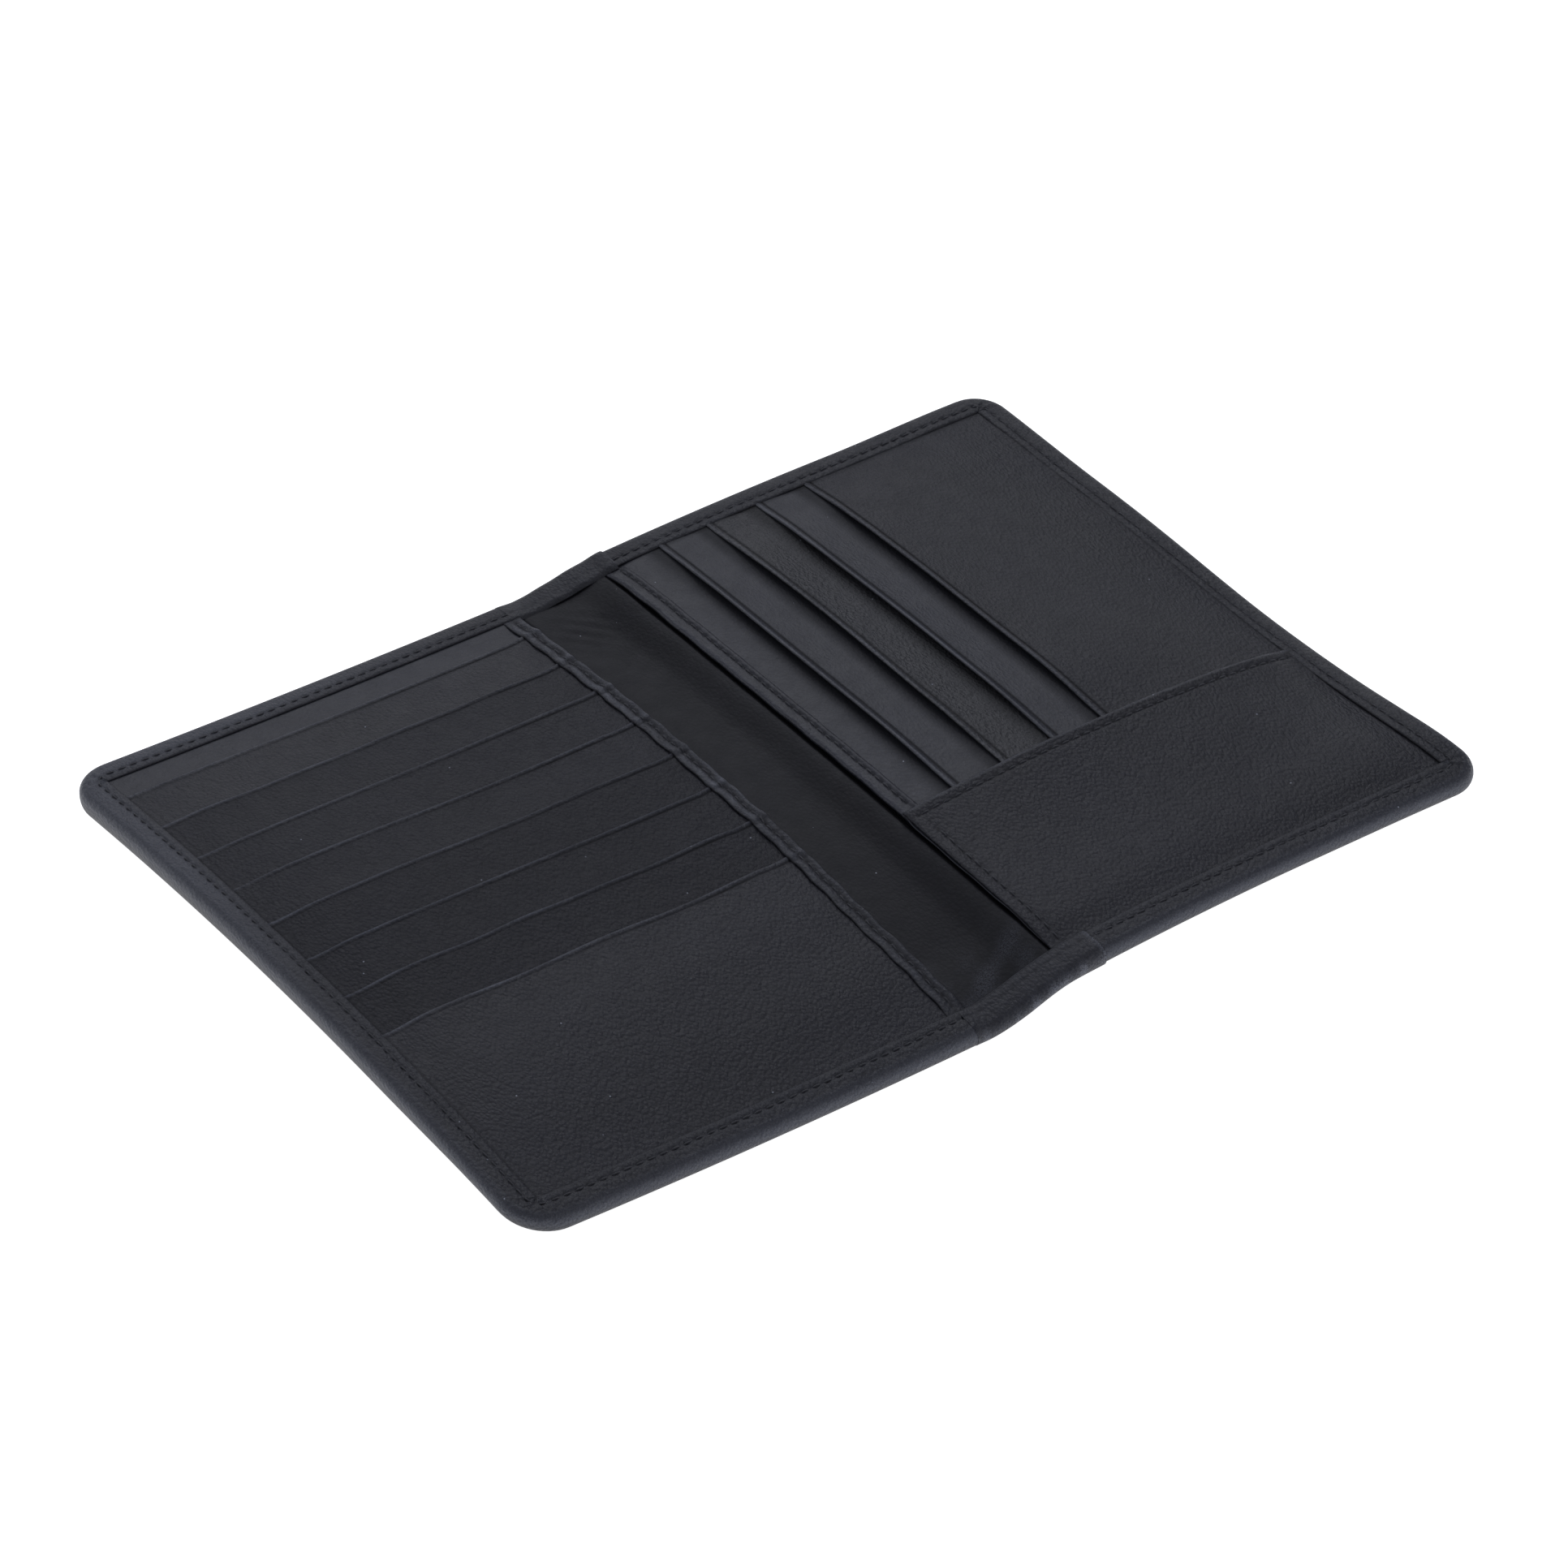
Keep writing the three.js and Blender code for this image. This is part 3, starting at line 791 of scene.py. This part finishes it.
def add_spine_lining():
    reach = HALF_WIDTH - 2.2
    ends = {
        -1: (LEFT_EDGE_X - LINING_REACH, SPINE_MIDDLE),
        1: (SPINE_MIDDLE, RIGHT_EDGE_X + LINING_REACH),
    }
    for side, (x0, x1) in ends.items():
        x, y = np.meshgrid(np.linspace(x0, x1, 60), np.linspace(-reach, reach, 260), indexing="ij")
        solid = Solid()
        patchy = np.clip(0.35 + 0.5 * ripples(8, [5.2, 7.7, 11.0])(x, y), 0, 1)
        scuffs = 0.16 * smooth((-y - 50) / 14) * patchy
        top = lining_height(x, y)
        solid.add_slab(lay(x, y, top), lay(x, y, top - LINING_THICKNESS), wear_and_highlight=scuffs)
        piece = solid.build(f"spine_lining_{HALF_NAME[side]}", LINING)
        blend_part(piece)
        nodes = ("lining_spine", "lining_left") if side < 0 else ("lining_right",)
        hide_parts(*nodes)


def add_spine_tabs():
    """Short strips wrapped over the far and near ends of the spine."""
    half = RIM_Z / 2
    route = [(4.5, 0.0), (3.0, 0.0)] + rim_arc(15)
    route += [(3.0, RIM_Z + 0.05), (3.6, RIM_Z + 0.04)]
    route += [(HEM_STITCH_INSET + d, RIM_Z) for d in (-0.4, -0.2, 0, 0.2, 0.4)]
    route += [(5.6, RIM_Z - 0.05), (6.2, RIM_Z - 0.3), (6.6, RIM_Z - 0.7)]
    route = np.array(route)
    flat_inset = route[:, 0:1]
    flat_rise = route[:, 1:2]
    tangent = np.gradient(route, axis=0)
    tangent /= np.linalg.norm(tangent, axis=1)[:, None]
    normal = np.stack([tangent[:, 1], -tangent[:, 0]], -1) * -1
    for end, end_name in ((1, "far"), (-1, "near")):
        for side, side_name in HALF_NAME.items():
            far_x = TAB_LEFT_X if side < 0 else TAB_RIGHT_X[end]
            xs = lines(min(far_x, SPINE_MIDDLE), max(far_x, SPINE_MIDDLE), 0.5)
            wave = 0.05 * ripples(21 + end, [4.0, 6.5])(xs)
            grids = []
            outside = TAB_PARED + TAB_THICKNESS * smooth((xs - TAB_LEFT_X) / 12)
            for offset in (outside[None, :], TAB_GAP + 0 * xs[None, :]):
                x = np.broadcast_to(xs[None, :], (len(route), len(xs)))
                inset = flat_inset + normal[:, 0:1] * offset
                rise = flat_rise + normal[:, 1:2] * offset
                z = rise * spine_share(x) + wave[None, :] * (rise > half)
                sewn = flat_inset - HEM_STITCH_INSET + 100 * (flat_rise < half)
                z = z + 0.4 * holes(x, sewn)
                grids.append(lay(x, end * (HALF_WIDTH - inset), z))
            # painted shade on the tab's inner edge where it turns down, and in the stitch holes
            seam = 0.5 * smooth((flat_inset - 5.9) / 0.6) * (flat_rise > half)
            seam = np.clip(seam + 0.5 * hole_shade(xs[None, :], sewn), 0, 1)
            rub = 0.35 + 0.8 * np.clip(ripples(14, [1.7, 3.1, 5.9])(xs), 0, 1)
            rub = rub[None, :] * bump(flat_rise - half - 0.2, 0.95) * EDGE_RUB[end]
            rub = rub + 0.5 * bump(xs - TAB_RIGHT_X[end], 0.6)[None, :] * END_RUB[end]
            solid = Solid()
            solid.add_slab(grids[0], grids[1], wear_and_highlight=rub, painted_shade=seam, flip=end > 0)
            piece = solid.build(f"spine_tab_{end_name}_{side_name}", TAB)
            blend_part(piece)
            if side < 0:
                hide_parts(f"spine_tab_{end_name}")


# ---- left half ----

LEFT_PANEL_END = LEFT_EDGE_X - 0.6  # inside the binding's fold
LEFT_FIRST = LEFT_MOUTHS[0]
LEFT_PITCH = LEFT_MOUTHS[0] - LEFT_MOUTHS[1]
HEM_SQUEEZE = 0.5  # share of the stack's thickness left where the hem is sewn over it
HEM_FILL = 0.62  # the panels stand up to the hem's underside where few layers lie under it
LEFT_BEAD = (0.07, 0.32, 0.3)  # (height, distance behind the mouth, width)
LEFT_CREASE = (-0.15, 1.1, 0.2)
# painted highlight along each mouth's folded edge, as (height, distance behind the mouth, width)
LEFT_MOUTH_HIGHLIGHT = (1.0, 0.28, 0.32)
LEFT_CREASE_SHADE = (0.85, 1.15, 0.26)
BINDING_THICKNESS = 0.36
LEFT_END_SEAM = 1.3  # the pockets are pressed down this far in from the hem
left_waves = ripples(2, [23.0, 37.0, 52.0, 71.0])


def left_squeeze(x, y):
    """Share of the stack's free thickness that the sewing leaves."""
    side = grow(HEM_SQUEEZE, (x + WINDOW_X) / 10)
    near = grow(HEM_SQUEEZE, (y + WINDOW_Y) / 18)
    bound = grow(0.75, (LEFT_EDGE_X - 3 - x) / 9)
    return side * near * bound


def left_fill(y):
    """Rise of the left panels where fewer pockets than the full stack lie under them."""
    past = LEFT_FIRST - y
    last_tail = (len(LEFT_MOUTHS) - 1) * LEFT_PITCH + POCKET_DEPTH
    layers = np.clip(past / POCKET_DEPTH, 0, 1) * np.clip((last_tail - past) / POCKET_DEPTH, 0, 1)
    return HEM_FILL * (1 - layers)


def left_billow(x, y):
    """Air under the pocket panel, the same for every layer."""
    free = smooth((x + WINDOW_X) / 20) * smooth((y + WINDOW_Y) / 20) * smooth((WINDOW_Y - y) / 16)
    return left_fill(y) + free * (0.4 + 0.1 * left_waves(x, y))


def left_level(index, x, y):
    """Underside of one left pocket."""
    past = LEFT_FIRST - y
    tail = index * LEFT_PITCH + POCKET_DEPTH
    rise = POCKET_STEP * np.clip(tail - np.maximum(past, POCKET_DEPTH), 0, None) / LEFT_PITCH
    return POCKET_Z + POCKET_CLEARANCE + rise * left_squeeze(x, y) + left_billow(x, y)


def left_pocket(index):
    mouth = LEFT_MOUTHS[index]
    end = max(mouth - POCKET_DEPTH, -TUCK_Y)
    xs = lines(-TUCK_X, LEFT_PANEL_END, 1.3, [(-WINDOW_X + 1.2, 1.2, 0.2)])
    ys = lines(end, mouth, 2.0, [(mouth - 0.9, 0.9, 0.1)])
    wave = ripples(100 + index, [19.0, 31.0, 47.0])

    def top(x, y):
        behind = mouth - y
        deeper = grow(0.45, (x + 60) / 50)
        bead = ridge(behind, LEFT_BEAD)
        crease = deeper * ridge(behind, LEFT_CREASE)
        seam = -0.06 * bump(x + WINDOW_X - LEFT_END_SEAM, 0.3)
        hollow = -0.1 * np.sin(math.pi * np.clip(behind / LEFT_PITCH, 0, 1))
        squeezed = np.clip(left_squeeze(x, y) * 1.15, 0, 1)
        return left_level(index, x, y) + (POCKET_THICKNESS + bead + crease + seam + hollow) * squeezed

    def shift(x, y):
        behind = mouth - y
        curl = 0.7 * smooth((x - LEFT_EDGE_X + 8) / 6)
        return x, y + (0.22 * wave(x) + curl) * fade(behind, 5)

    # Painted highlight along the mouth's edge; painted shade in the crease behind it and in the
    # pressed seam near the hem.
    def marks(x, y):
        behind = mouth - y
        deeper = grow(0.35, (x + 75) / 50)
        broken = 0.75 + 0.25 * wave(x * 2, y)
        wear_and_highlight = (0.85 - 0.4 * deeper) * ridge(behind, LEFT_MOUTH_HIGHLIGHT) * broken
        painted_shade = deeper * ridge(behind, LEFT_CREASE_SHADE) * broken
        painted_shade = painted_shade + 0.12 * bump(x + WINDOW_X - LEFT_END_SEAM, 0.3)
        return shades(wear_and_highlight, painted_shade)

    material = {0: PANEL, 4: LOW_STRIP, 5: LOW_STRIP, 6: LOW_STRIP, 7: PANEL}.get(index, STRIP)
    piece = sheet(
        f"left_card_pocket_panel_{index + 1}", xs, ys, top,
        lambda x, y: left_level(index, x, y), material, shift, marks,
    )
    take_place(piece, "left_half", f"left_card_pocket_{index + 1}")


def add_left_backing():
    xs = lines(-TUCK_X, LEFT_PANEL_END, 2.0)
    ys = lines(-TUCK_Y, TUCK_Y, 2.0)
    piece = sheet(
        "left_backing_panel", xs, ys,
        lambda x, y: BACKING_Z + BACKING_THICKNESS + left_billow(x, y),
        lambda x, y: BACKING_Z + left_billow(x, y),
        SMOOTH,
    )
    take_place(piece, "left_half", "left_pocket_backing")


def left_stack_top(x, y, soften=0.7):
    """Height of the pocket stack along the binding, with its steps softened by the leather."""
    total = BACKING_Z + BACKING_THICKNESS + left_billow(x, y)
    for index, mouth in enumerate(LEFT_MOUTHS):
        under = smooth((mouth - y) / soften + 0.5)
        level = left_level(index, x, np.minimum(y, mouth)) + POCKET_THICKNESS * left_squeeze(x, y)
        total = total * (1 - under) + level * under
    return total


def add_left_binding():
    xs = lines(BINDING_X, LEFT_EDGE_X, 0.22)
    ys = lines(-TUCK_Y, TUCK_Y, 0.55)
    wobble = ripples(61, [7.0, 13.0, 29.0])
    centre = (BINDING_X + LEFT_EDGE_X) / 2

    def top(x, y):
        across = x - centre
        swell = 0.07 * wobble(y)
        ridges = (0.16 + swell) * bump(across + 1.1, 0.8) + (0.2 - swell) * bump(across - 1.1, 0.85)
        notch = 0.0
        for mouth in LEFT_MOUTHS:
            notch = notch + 0.28 * bump(y - mouth - 0.3, 0.8) - 0.2 * bump(y - mouth + 1.2, 0.6)
        row = holes(y, across, 0.25) - 0.08 * bump(across, 0.45)
        pinned = smooth((WINDOW_Y - y) / 3) * smooth((y + WINDOW_Y) / 3)
        cover = BINDING_THICKNESS * (0.35 + 0.65 * pinned)
        return left_stack_top(x, y) + cover + (ridges + row + notch) * pinned

    def bottom(x, y):
        wall = smooth((x - LEFT_EDGE_X + 0.62) / 0.1)
        return (left_stack_top(x, y) + 0.05) * (1 - wall) + (BACKING_Z - 0.05) * wall

    def sway(y):
        return 0.22 * wobble(y * 1.3, 3)

    def shift(x, y):
        return x + sway(y), y

    # Painted highlights on both ridges and on each mouth's step, weaker towards the near end; painted
    # shade in the stitch channel and holes, along the inner edge and behind each step.
    def marks(x, y):
        across = x - centre
        wear_and_highlight = 0.4 * bump(across - 1.2, 0.55) + 0.5 * bump(across + 1.1, 0.6)
        wear_and_highlight = wear_and_highlight * grow(0.45, (y + 50) / 60)
        painted_shade = 0.12 * bump(across, 0.34) + hole_shade(y, across)
        painted_shade = painted_shade + 0.35 * bump(x - BINDING_X - 0.05, 0.12)
        for mouth in LEFT_MOUTHS:
            wear_and_highlight = wear_and_highlight + 0.5 * bump(y - mouth - 0.4, 0.8) * bump(across, 1.5)
            painted_shade = painted_shade + 0.5 * bump(y - mouth + 1.2, 0.3)
        return shades(wear_and_highlight * (0.7 + 0.4 * wobble(y * 2.1, x)), painted_shade)

    piece = sheet("left_binding_strip", xs, ys, top, bottom, COVER, shift, marks)
    blend_part(piece)
    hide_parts("left_edge_binding")
    route_y = np.arange(first_hole(WINDOW_Y - 1), 1 - WINDOW_Y, -ROUTE_STEP)
    route = np.stack([centre + sway(route_y), route_y], -1)
    stitch_row(
        "binding_threads", [route], lambda x, y: top(centre + 0 * x, y) + PANEL_ROW_LIFT, "left_half",
        "left_binding_stitching",
    )


# ---- right half ----

RIGHT_FIRST = RIGHT_MOUTHS[0]
RIGHT_PITCH = RIGHT_MOUTHS[1] - RIGHT_MOUTHS[0]
TURNED_EDGE_WIDTH = 3.7
RIGHT_BEAD = (0.22, 0.55, 0.5)  # (height, distance behind the mouth, width)
RIGHT_CREASE = (-0.16, 1.55, 0.22)
# painted highlight along each mouth's rolled edge, as (height, distance behind the mouth, width)
RIGHT_MOUTH_HIGHLIGHT = (0.4, 0.5, 0.4)
RIGHT_CREASE_SHADE = (0.8, 1.6, 0.26)
LIP_LIFT = 0.95
PASSPORT_ROLL = (0.14, 0.8, 0.6)  # (height, distance from the free edge, width)
PASSPORT_FOLD_END = (0.1, 3.2, 0.5)
# painted highlight along the rolled free edge, as (height, distance from the free edge, width)
PASSPORT_EDGE_HIGHLIGHT = (0.3, 0.4, 0.35)
BOTTOM_ROLL = (0.12, 0.8, 0.6)  # (height, distance behind the mouth, width)
BOTTOM_SIDE_ROLL = (0.1, 0.8, 0.6)  # (height, distance from the spine side, width)
# painted highlight along the rolled mouth, as (height, distance behind the mouth, width)
BOTTOM_MOUTH_HIGHLIGHT = (0.32, 0.4, 0.4)
DOME_HEIGHT = 1.15
right_waves = ripples(9, [29.0, 43.0, 61.0, 83.0])


def right_squeeze(x, y):
    """The same share for the right half."""
    outer = grow(HEM_SQUEEZE, (WINDOW_X - x) / 14)
    far = grow(HEM_SQUEEZE, (WINDOW_Y - y) / 13)
    sewn_over = grow(0.6, (y - BOTTOM_MOUTH_Y) / 18)
    return outer * far * sewn_over


def right_fill(x, y):
    """The same rise for the right half."""
    past = x - RIGHT_FIRST
    last_mouth = (len(RIGHT_MOUTHS) - 1) * RIGHT_PITCH
    last_tail = last_mouth + POCKET_DEPTH
    layers = np.clip(past / last_mouth, 0, 1) * np.clip((last_tail - past) / last_mouth, 0, 1)
    under_bottom_pocket = grow(0.3, (y - RIGHT_TUCK_Y + 14) / 14)
    return HEM_FILL * (1 - layers) * under_bottom_pocket * smooth((x - RIGHT_EDGE_X + 4) / 12)


def right_billow(x, y):
    """Free edge lift and billow of the right panel, the same for every layer."""
    ends = smooth((WINDOW_Y + 0.5 - y) / 14) * smooth((y + WINDOW_Y + 0.5) / 14)
    free = smooth((WINDOW_X - x) / 20) * ends
    lift = 0.4 * (1 - smooth((x - RIGHT_EDGE_X) / 10)) * ends
    return right_fill(x, y) + lift + free * (0.25 + 0.08 * right_waves(x, y))


def right_level(index, x, y):
    """Underside of one right card pocket, away from its lip."""
    past = x - RIGHT_FIRST
    tail = index * RIGHT_PITCH + POCKET_DEPTH
    rise = POCKET_STEP * np.clip(tail - np.maximum(past, POCKET_DEPTH), 0, None) / RIGHT_PITCH
    return POCKET_Z + POCKET_CLEARANCE + rise * right_squeeze(x, y) + right_billow(x, y)


def lip_lift(behind, y):
    """A pocket's mouth stands up from the pocket below, except where it is sewn down."""
    free = smooth((WINDOW_Y - y) / 22) * grow(0.25, (y - BOTTOM_MOUTH_Y) / 22)
    return LIP_LIFT * fade(behind, 3.2) * free


def right_pocket(index):
    mouth = RIGHT_MOUTHS[index]
    end = min(mouth + POCKET_DEPTH, TUCK_X)
    xs = lines(mouth, end, 2.0, [(mouth + 1.1, 1.1, 0.12)])
    ys = lines(RIGHT_TUCK_Y, TUCK_Y, 1.3)
    wave = ripples(200 + index, [47.0, 71.0, 110.0])
    is_last = index == len(RIGHT_MOUTHS) - 1

    def low(x, y):
        return right_level(index, x, y) + lip_lift(x - mouth, y)

    def top(x, y):
        behind = x - mouth
        bead = ridge(behind, RIGHT_BEAD)
        crease = ridge(behind, RIGHT_CREASE)
        visible = 40.0 if is_last else RIGHT_PITCH
        sag = -0.16 * bump(behind - visible * 0.72, visible * 0.2)
        squeezed = np.clip(right_squeeze(x, y) * 1.2, 0, 1)
        return low(x, y) + (POCKET_THICKNESS + bead + crease + sag) * squeezed

    def shift(x, y):
        behind = x - mouth
        pinned = 0.5 * smooth((y - WINDOW_Y + 16) / 16)
        return x + (0.16 * wave(y) + pinned) * fade(behind, 6), y

    # Painted highlight along the rolled mouth; painted shade in the crease behind it and the painted
    # shadow of the next pocket's lifted mouth.
    def marks(x, y):
        behind = x - mouth
        wear_and_highlight = ridge(behind, RIGHT_MOUTH_HIGHLIGHT) * (0.8 + 0.3 * wave(y * 1.7, x))
        painted_shade = ridge(behind, RIGHT_CREASE_SHADE)
        if not is_last:
            painted_shade = painted_shade + lip_shade(RIGHT_PITCH - behind)
        return shades(wear_and_highlight, painted_shade)

    material = {1: GRAINY, 3: PANEL}.get(index, SMOOTH)
    piece = sheet(f"right_card_pocket_panel_{index + 1}", xs, ys, top, low, material, shift, marks)
    take_place(piece, "right_half", f"right_card_pocket_{index + 1}")


def add_passport_pocket():
    row = RIGHT_EDGE_X + EDGE_STITCH_INSET
    xs = lines(RIGHT_EDGE_X, TUCK_X, 2.2, [(RIGHT_EDGE_X + 2.4, 2.2, 0.2)])
    ys = lines(-TUCK_Y, TUCK_Y, 0.6)
    wobble = ripples(71, [5.1, 8.3, 14.0, 33.0])

    def top(x, y):
        inward = x - RIGHT_EDGE_X
        turned = 0.42 * (1 - smooth((inward - TURNED_EDGE_WIDTH) / 0.25))
        roll = ridge(inward, PASSPORT_ROLL) + ridge(inward, PASSPORT_FOLD_END)
        row_pull = holes(y, x - row, 0.32)
        crinkle = 0.05 * wobble(y) * (1 - smooth((inward - 3) / 3))
        open_part = smooth((y - BOTTOM_MOUTH_Y + 3) / 2) * smooth((WINDOW_Y - y) / 2)
        detail = turned + roll + row_pull + crinkle
        return BACKING_Z + BACKING_THICKNESS + right_billow(x, y) + detail * open_part

    def shift(x, y):
        edge = fade(x - RIGHT_EDGE_X, 5)
        far = smooth((y - 40) / 25)
        return x + edge * wobble(y * 0.8) * (0.12 + 0.2 * far), y

    # Painted highlight along the rolled free edge; painted shade in the stitch holes, and the painted
    # shadow of the first card pocket's lifted mouth.
    def marks(x, y):
        wear_and_highlight = ridge(x - RIGHT_EDGE_X, PASSPORT_EDGE_HIGHLIGHT) * (0.8 + 0.3 * wobble(y, x))
        painted_shade = hole_shade(y, x - row) * smooth(y - BOTTOM_MOUTH_Y + 2)
        return shades(wear_and_highlight, painted_shade + lip_shade(RIGHT_FIRST - x))

    piece = sheet(
        "passport_pocket_panel", xs, ys, top,
        lambda x, y: BACKING_Z + right_billow(x, y), SMOOTH, shift, marks,
    )
    take_place(piece, "right_half", "right_passport_pocket")
    route_y = np.arange(first_hole(WINDOW_Y - 1), BOTTOM_MOUTH_Y, -ROUTE_STEP)
    route_x = shift(row + 0 * route_y, route_y)[0]
    stitch_row(
        "passport_edge_threads", [np.stack([route_x, route_y], -1)],
        lambda x, y: top(row + 0 * x, y) + PANEL_ROW_LIFT, "right_half", "passport_edge_stitching",
    )


def right_stack_dome(x):
    """Smooth rise of the bottom pocket's mouth over the ends of the card pockets."""
    rise = np.sin(math.pi / 2 * np.clip((x - RIGHT_EDGE_X) / 42, 0, 1))
    return DOME_HEIGHT * rise * (1 - 0.85 * smooth((x - 62) / 34))


def add_bottom_pocket():
    row_y = BOTTOM_MOUTH_Y - MOUTH_STITCH_INSET
    row_x = RIGHT_EDGE_X + EDGE_STITCH_INSET
    xs = lines(RIGHT_EDGE_X, TUCK_X, 0.6)
    ys = lines(-TUCK_Y, BOTTOM_MOUTH_Y, 0.8, [(BOTTOM_MOUTH_Y - 2.5, 2.3, 0.2)], edge=0.4)
    wobble = ripples(81, [6.0, 11.0, 19.0])
    broad = ripples(83, [27.0, 44.0])

    def low(x, y):
        over = smooth((y - RIGHT_TUCK_Y + 26) / 26)
        free = smooth((WINDOW_X - x) / 8) * smooth((y + WINDOW_Y) / 8)
        flat = BACKING_Z + 0.36 + right_billow(x, y)
        return flat + right_stack_dome(x) * over + 0.3 * free

    def top(x, y):
        behind = BOTTOM_MOUTH_Y - y
        fold = 0.3 * (1 - smooth(behind / 8))
        roll = ridge(behind, BOTTOM_ROLL) + 0.05 * wobble(x) * bump(behind, 5)
        side = ridge(x - RIGHT_EDGE_X, BOTTOM_SIDE_ROLL)
        pinned = smooth((WINDOW_X - x) / 5) * smooth((y + WINDOW_Y) / 5)
        rows = holes(x, behind - MOUTH_STITCH_INSET, 0.3)
        rows = rows + holes(y, x - row_x, 0.28) * smooth((behind - 4) / 2)
        detail = (fold + roll + side) * (0.4 + 0.6 * pinned) + 0.06 * broad(x, y) * pinned
        return low(x, y) + 0.28 + 0.17 * pinned + detail + rows

    # Painted highlight along the rolled mouth; painted shade in the stitch holes of both rows.
    def marks(x, y):
        behind = BOTTOM_MOUTH_Y - y
        wear_and_highlight = ridge(behind, BOTTOM_MOUTH_HIGHLIGHT) * (0.8 + 0.3 * wobble(x * 1.4, y))
        painted_shade = hole_shade(x, y - row_y) + hole_shade(y, x - row_x) * smooth((behind - 4) / 2)
        return shades(wear_and_highlight, painted_shade)

    piece = sheet("bottom_pocket_panel", xs, ys, top, low, PANEL, None, marks)
    take_place(piece, "right_half", "right_bottom_pocket")
    first_x = math.ceil((RIGHT_EDGE_X + 1.5) / STITCH_PITCH) * STITCH_PITCH
    route_x = np.arange(first_x, WINDOW_X - 0.5, ROUTE_STEP)
    stitch_row(
        "bottom_mouth_threads", [np.stack([route_x, row_y + 0 * route_x], -1)],
        lambda x, y: top(x, y) + PANEL_ROW_LIFT, "right_half", "bottom_mouth_stitching",
    )
    route_y = np.arange(first_hole(BOTTOM_MOUTH_Y - 5.5), 1 - WINDOW_Y, -ROUTE_STEP)
    stitch_row(
        "bottom_side_threads", [np.stack([row_x + 0 * route_y, route_y], -1)],
        lambda x, y: top(x, y) + PANEL_ROW_LIFT, "right_half", "bottom_side_stitching",
    )


# ---- studio ----

CAMERA_AZIMUTH = -36.58
CAMERA_ELEVATION = 39.23
CAMERA_ROLL = 0.24
CAMERA_DISTANCE = 1083.0
CAMERA_TARGET = (5.0, 4.1, -REST_DROP)
CAMERA_LENS = 139.75


def add_camera():
    azimuth = math.radians(CAMERA_AZIMUTH)
    elevation = math.radians(CAMERA_ELEVATION)
    back = Vector((
        math.sin(azimuth) * math.cos(elevation),
        -math.cos(azimuth) * math.cos(elevation),
        math.sin(elevation),
    ))
    data = bpy.data.cameras.new("camera")
    data.sensor_width = 36
    data.lens = CAMERA_LENS
    data.clip_start = 0.05
    camera = placed("camera", data)
    turn = (-back).to_track_quat("-Z", "Y").to_matrix().to_4x4()
    roll = Matrix.Rotation(math.radians(CAMERA_ROLL), 4, "Z")
    place = Matrix.Translation((Vector(CAMERA_TARGET) + back * CAMERA_DISTANCE) * MM)
    camera.matrix_world = place @ turn @ roll
    bpy.context.scene.camera = camera


COOL_WHITE = (0.90, 0.92, 1.0)
FLOOR_REACH = 4.0  # metres
FLOOR_GAP = 0.3


def add_light(name, position, size, power, colour=COOL_WHITE):
    """A soft square light aimed at the wallet, placed and sized in metres."""
    data = bpy.data.lights.new(name, "AREA")
    data.size = size
    data.energy = power
    data.color = colour
    light = placed(name, data)
    light.location = position
    light.rotation_mode = "QUATERNION"
    light.rotation_quaternion = (-Vector(position)).to_track_quat("-Z", "Y")


def add_studio():
    add_light("key_softbox", (0.65, 1.0, 1.0), 1.2, 7.7)
    add_light("top_softbox", (-0.5, -0.2, 1.6), 1.6, 4.0, (0.88, 0.90, 1.0))
    add_light("near_fill", (0.55, -0.85, 0.6), 0.9, 4.2)
    add_light("left_fill", (-0.85, 0.85, 0.6), 0.9, 4.0)
    world = bpy.data.worlds.new("studio")
    world.use_nodes = True
    sky = {"Color": (0.80, 0.84, 1.0, 1), "Strength": 0.13}
    set_inputs(world.node_tree, world.node_tree.nodes["Background"], sky)
    bpy.context.scene.world = world

    mesh = bpy.data.meshes.new("floor")
    ends = (-FLOOR_REACH, FLOOR_REACH)
    mesh.from_pydata([(x, y, 0) for x in ends for y in ends], [], [(0, 2, 3, 1)])
    floor = placed("floor", mesh)
    material, tree, shader = blank_material("floor_white")
    set_inputs(tree, shader, {"Base Color": (0.6, 0.6, 0.6, 1), "Roughness": 0.9})
    set_inputs(tree, shader, {"Emission Color": (1, 1, 1, 1), "Emission Strength": 0.95})
    set_inputs(tree, shader, {"Specular IOR Level": 0.0})
    mesh.materials.append(material)
    floor.location = (0, 0, -(REST_DROP + FLOOR_GAP) * MM)
    bpy.context.scene.view_settings.view_transform = "Standard"
    bpy.context.scene.view_settings.look = "None"


add_camera()
add_studio()
add_outer_leather()
add_spine_lining()
add_spine_tabs()
add_left_backing()
for pocket_index in range(len(LEFT_MOUTHS)):
    left_pocket(pocket_index)
add_left_binding()
add_passport_pocket()
for pocket_index in range(len(RIGHT_MOUTHS)):
    right_pocket(pocket_index)
add_bottom_pocket()
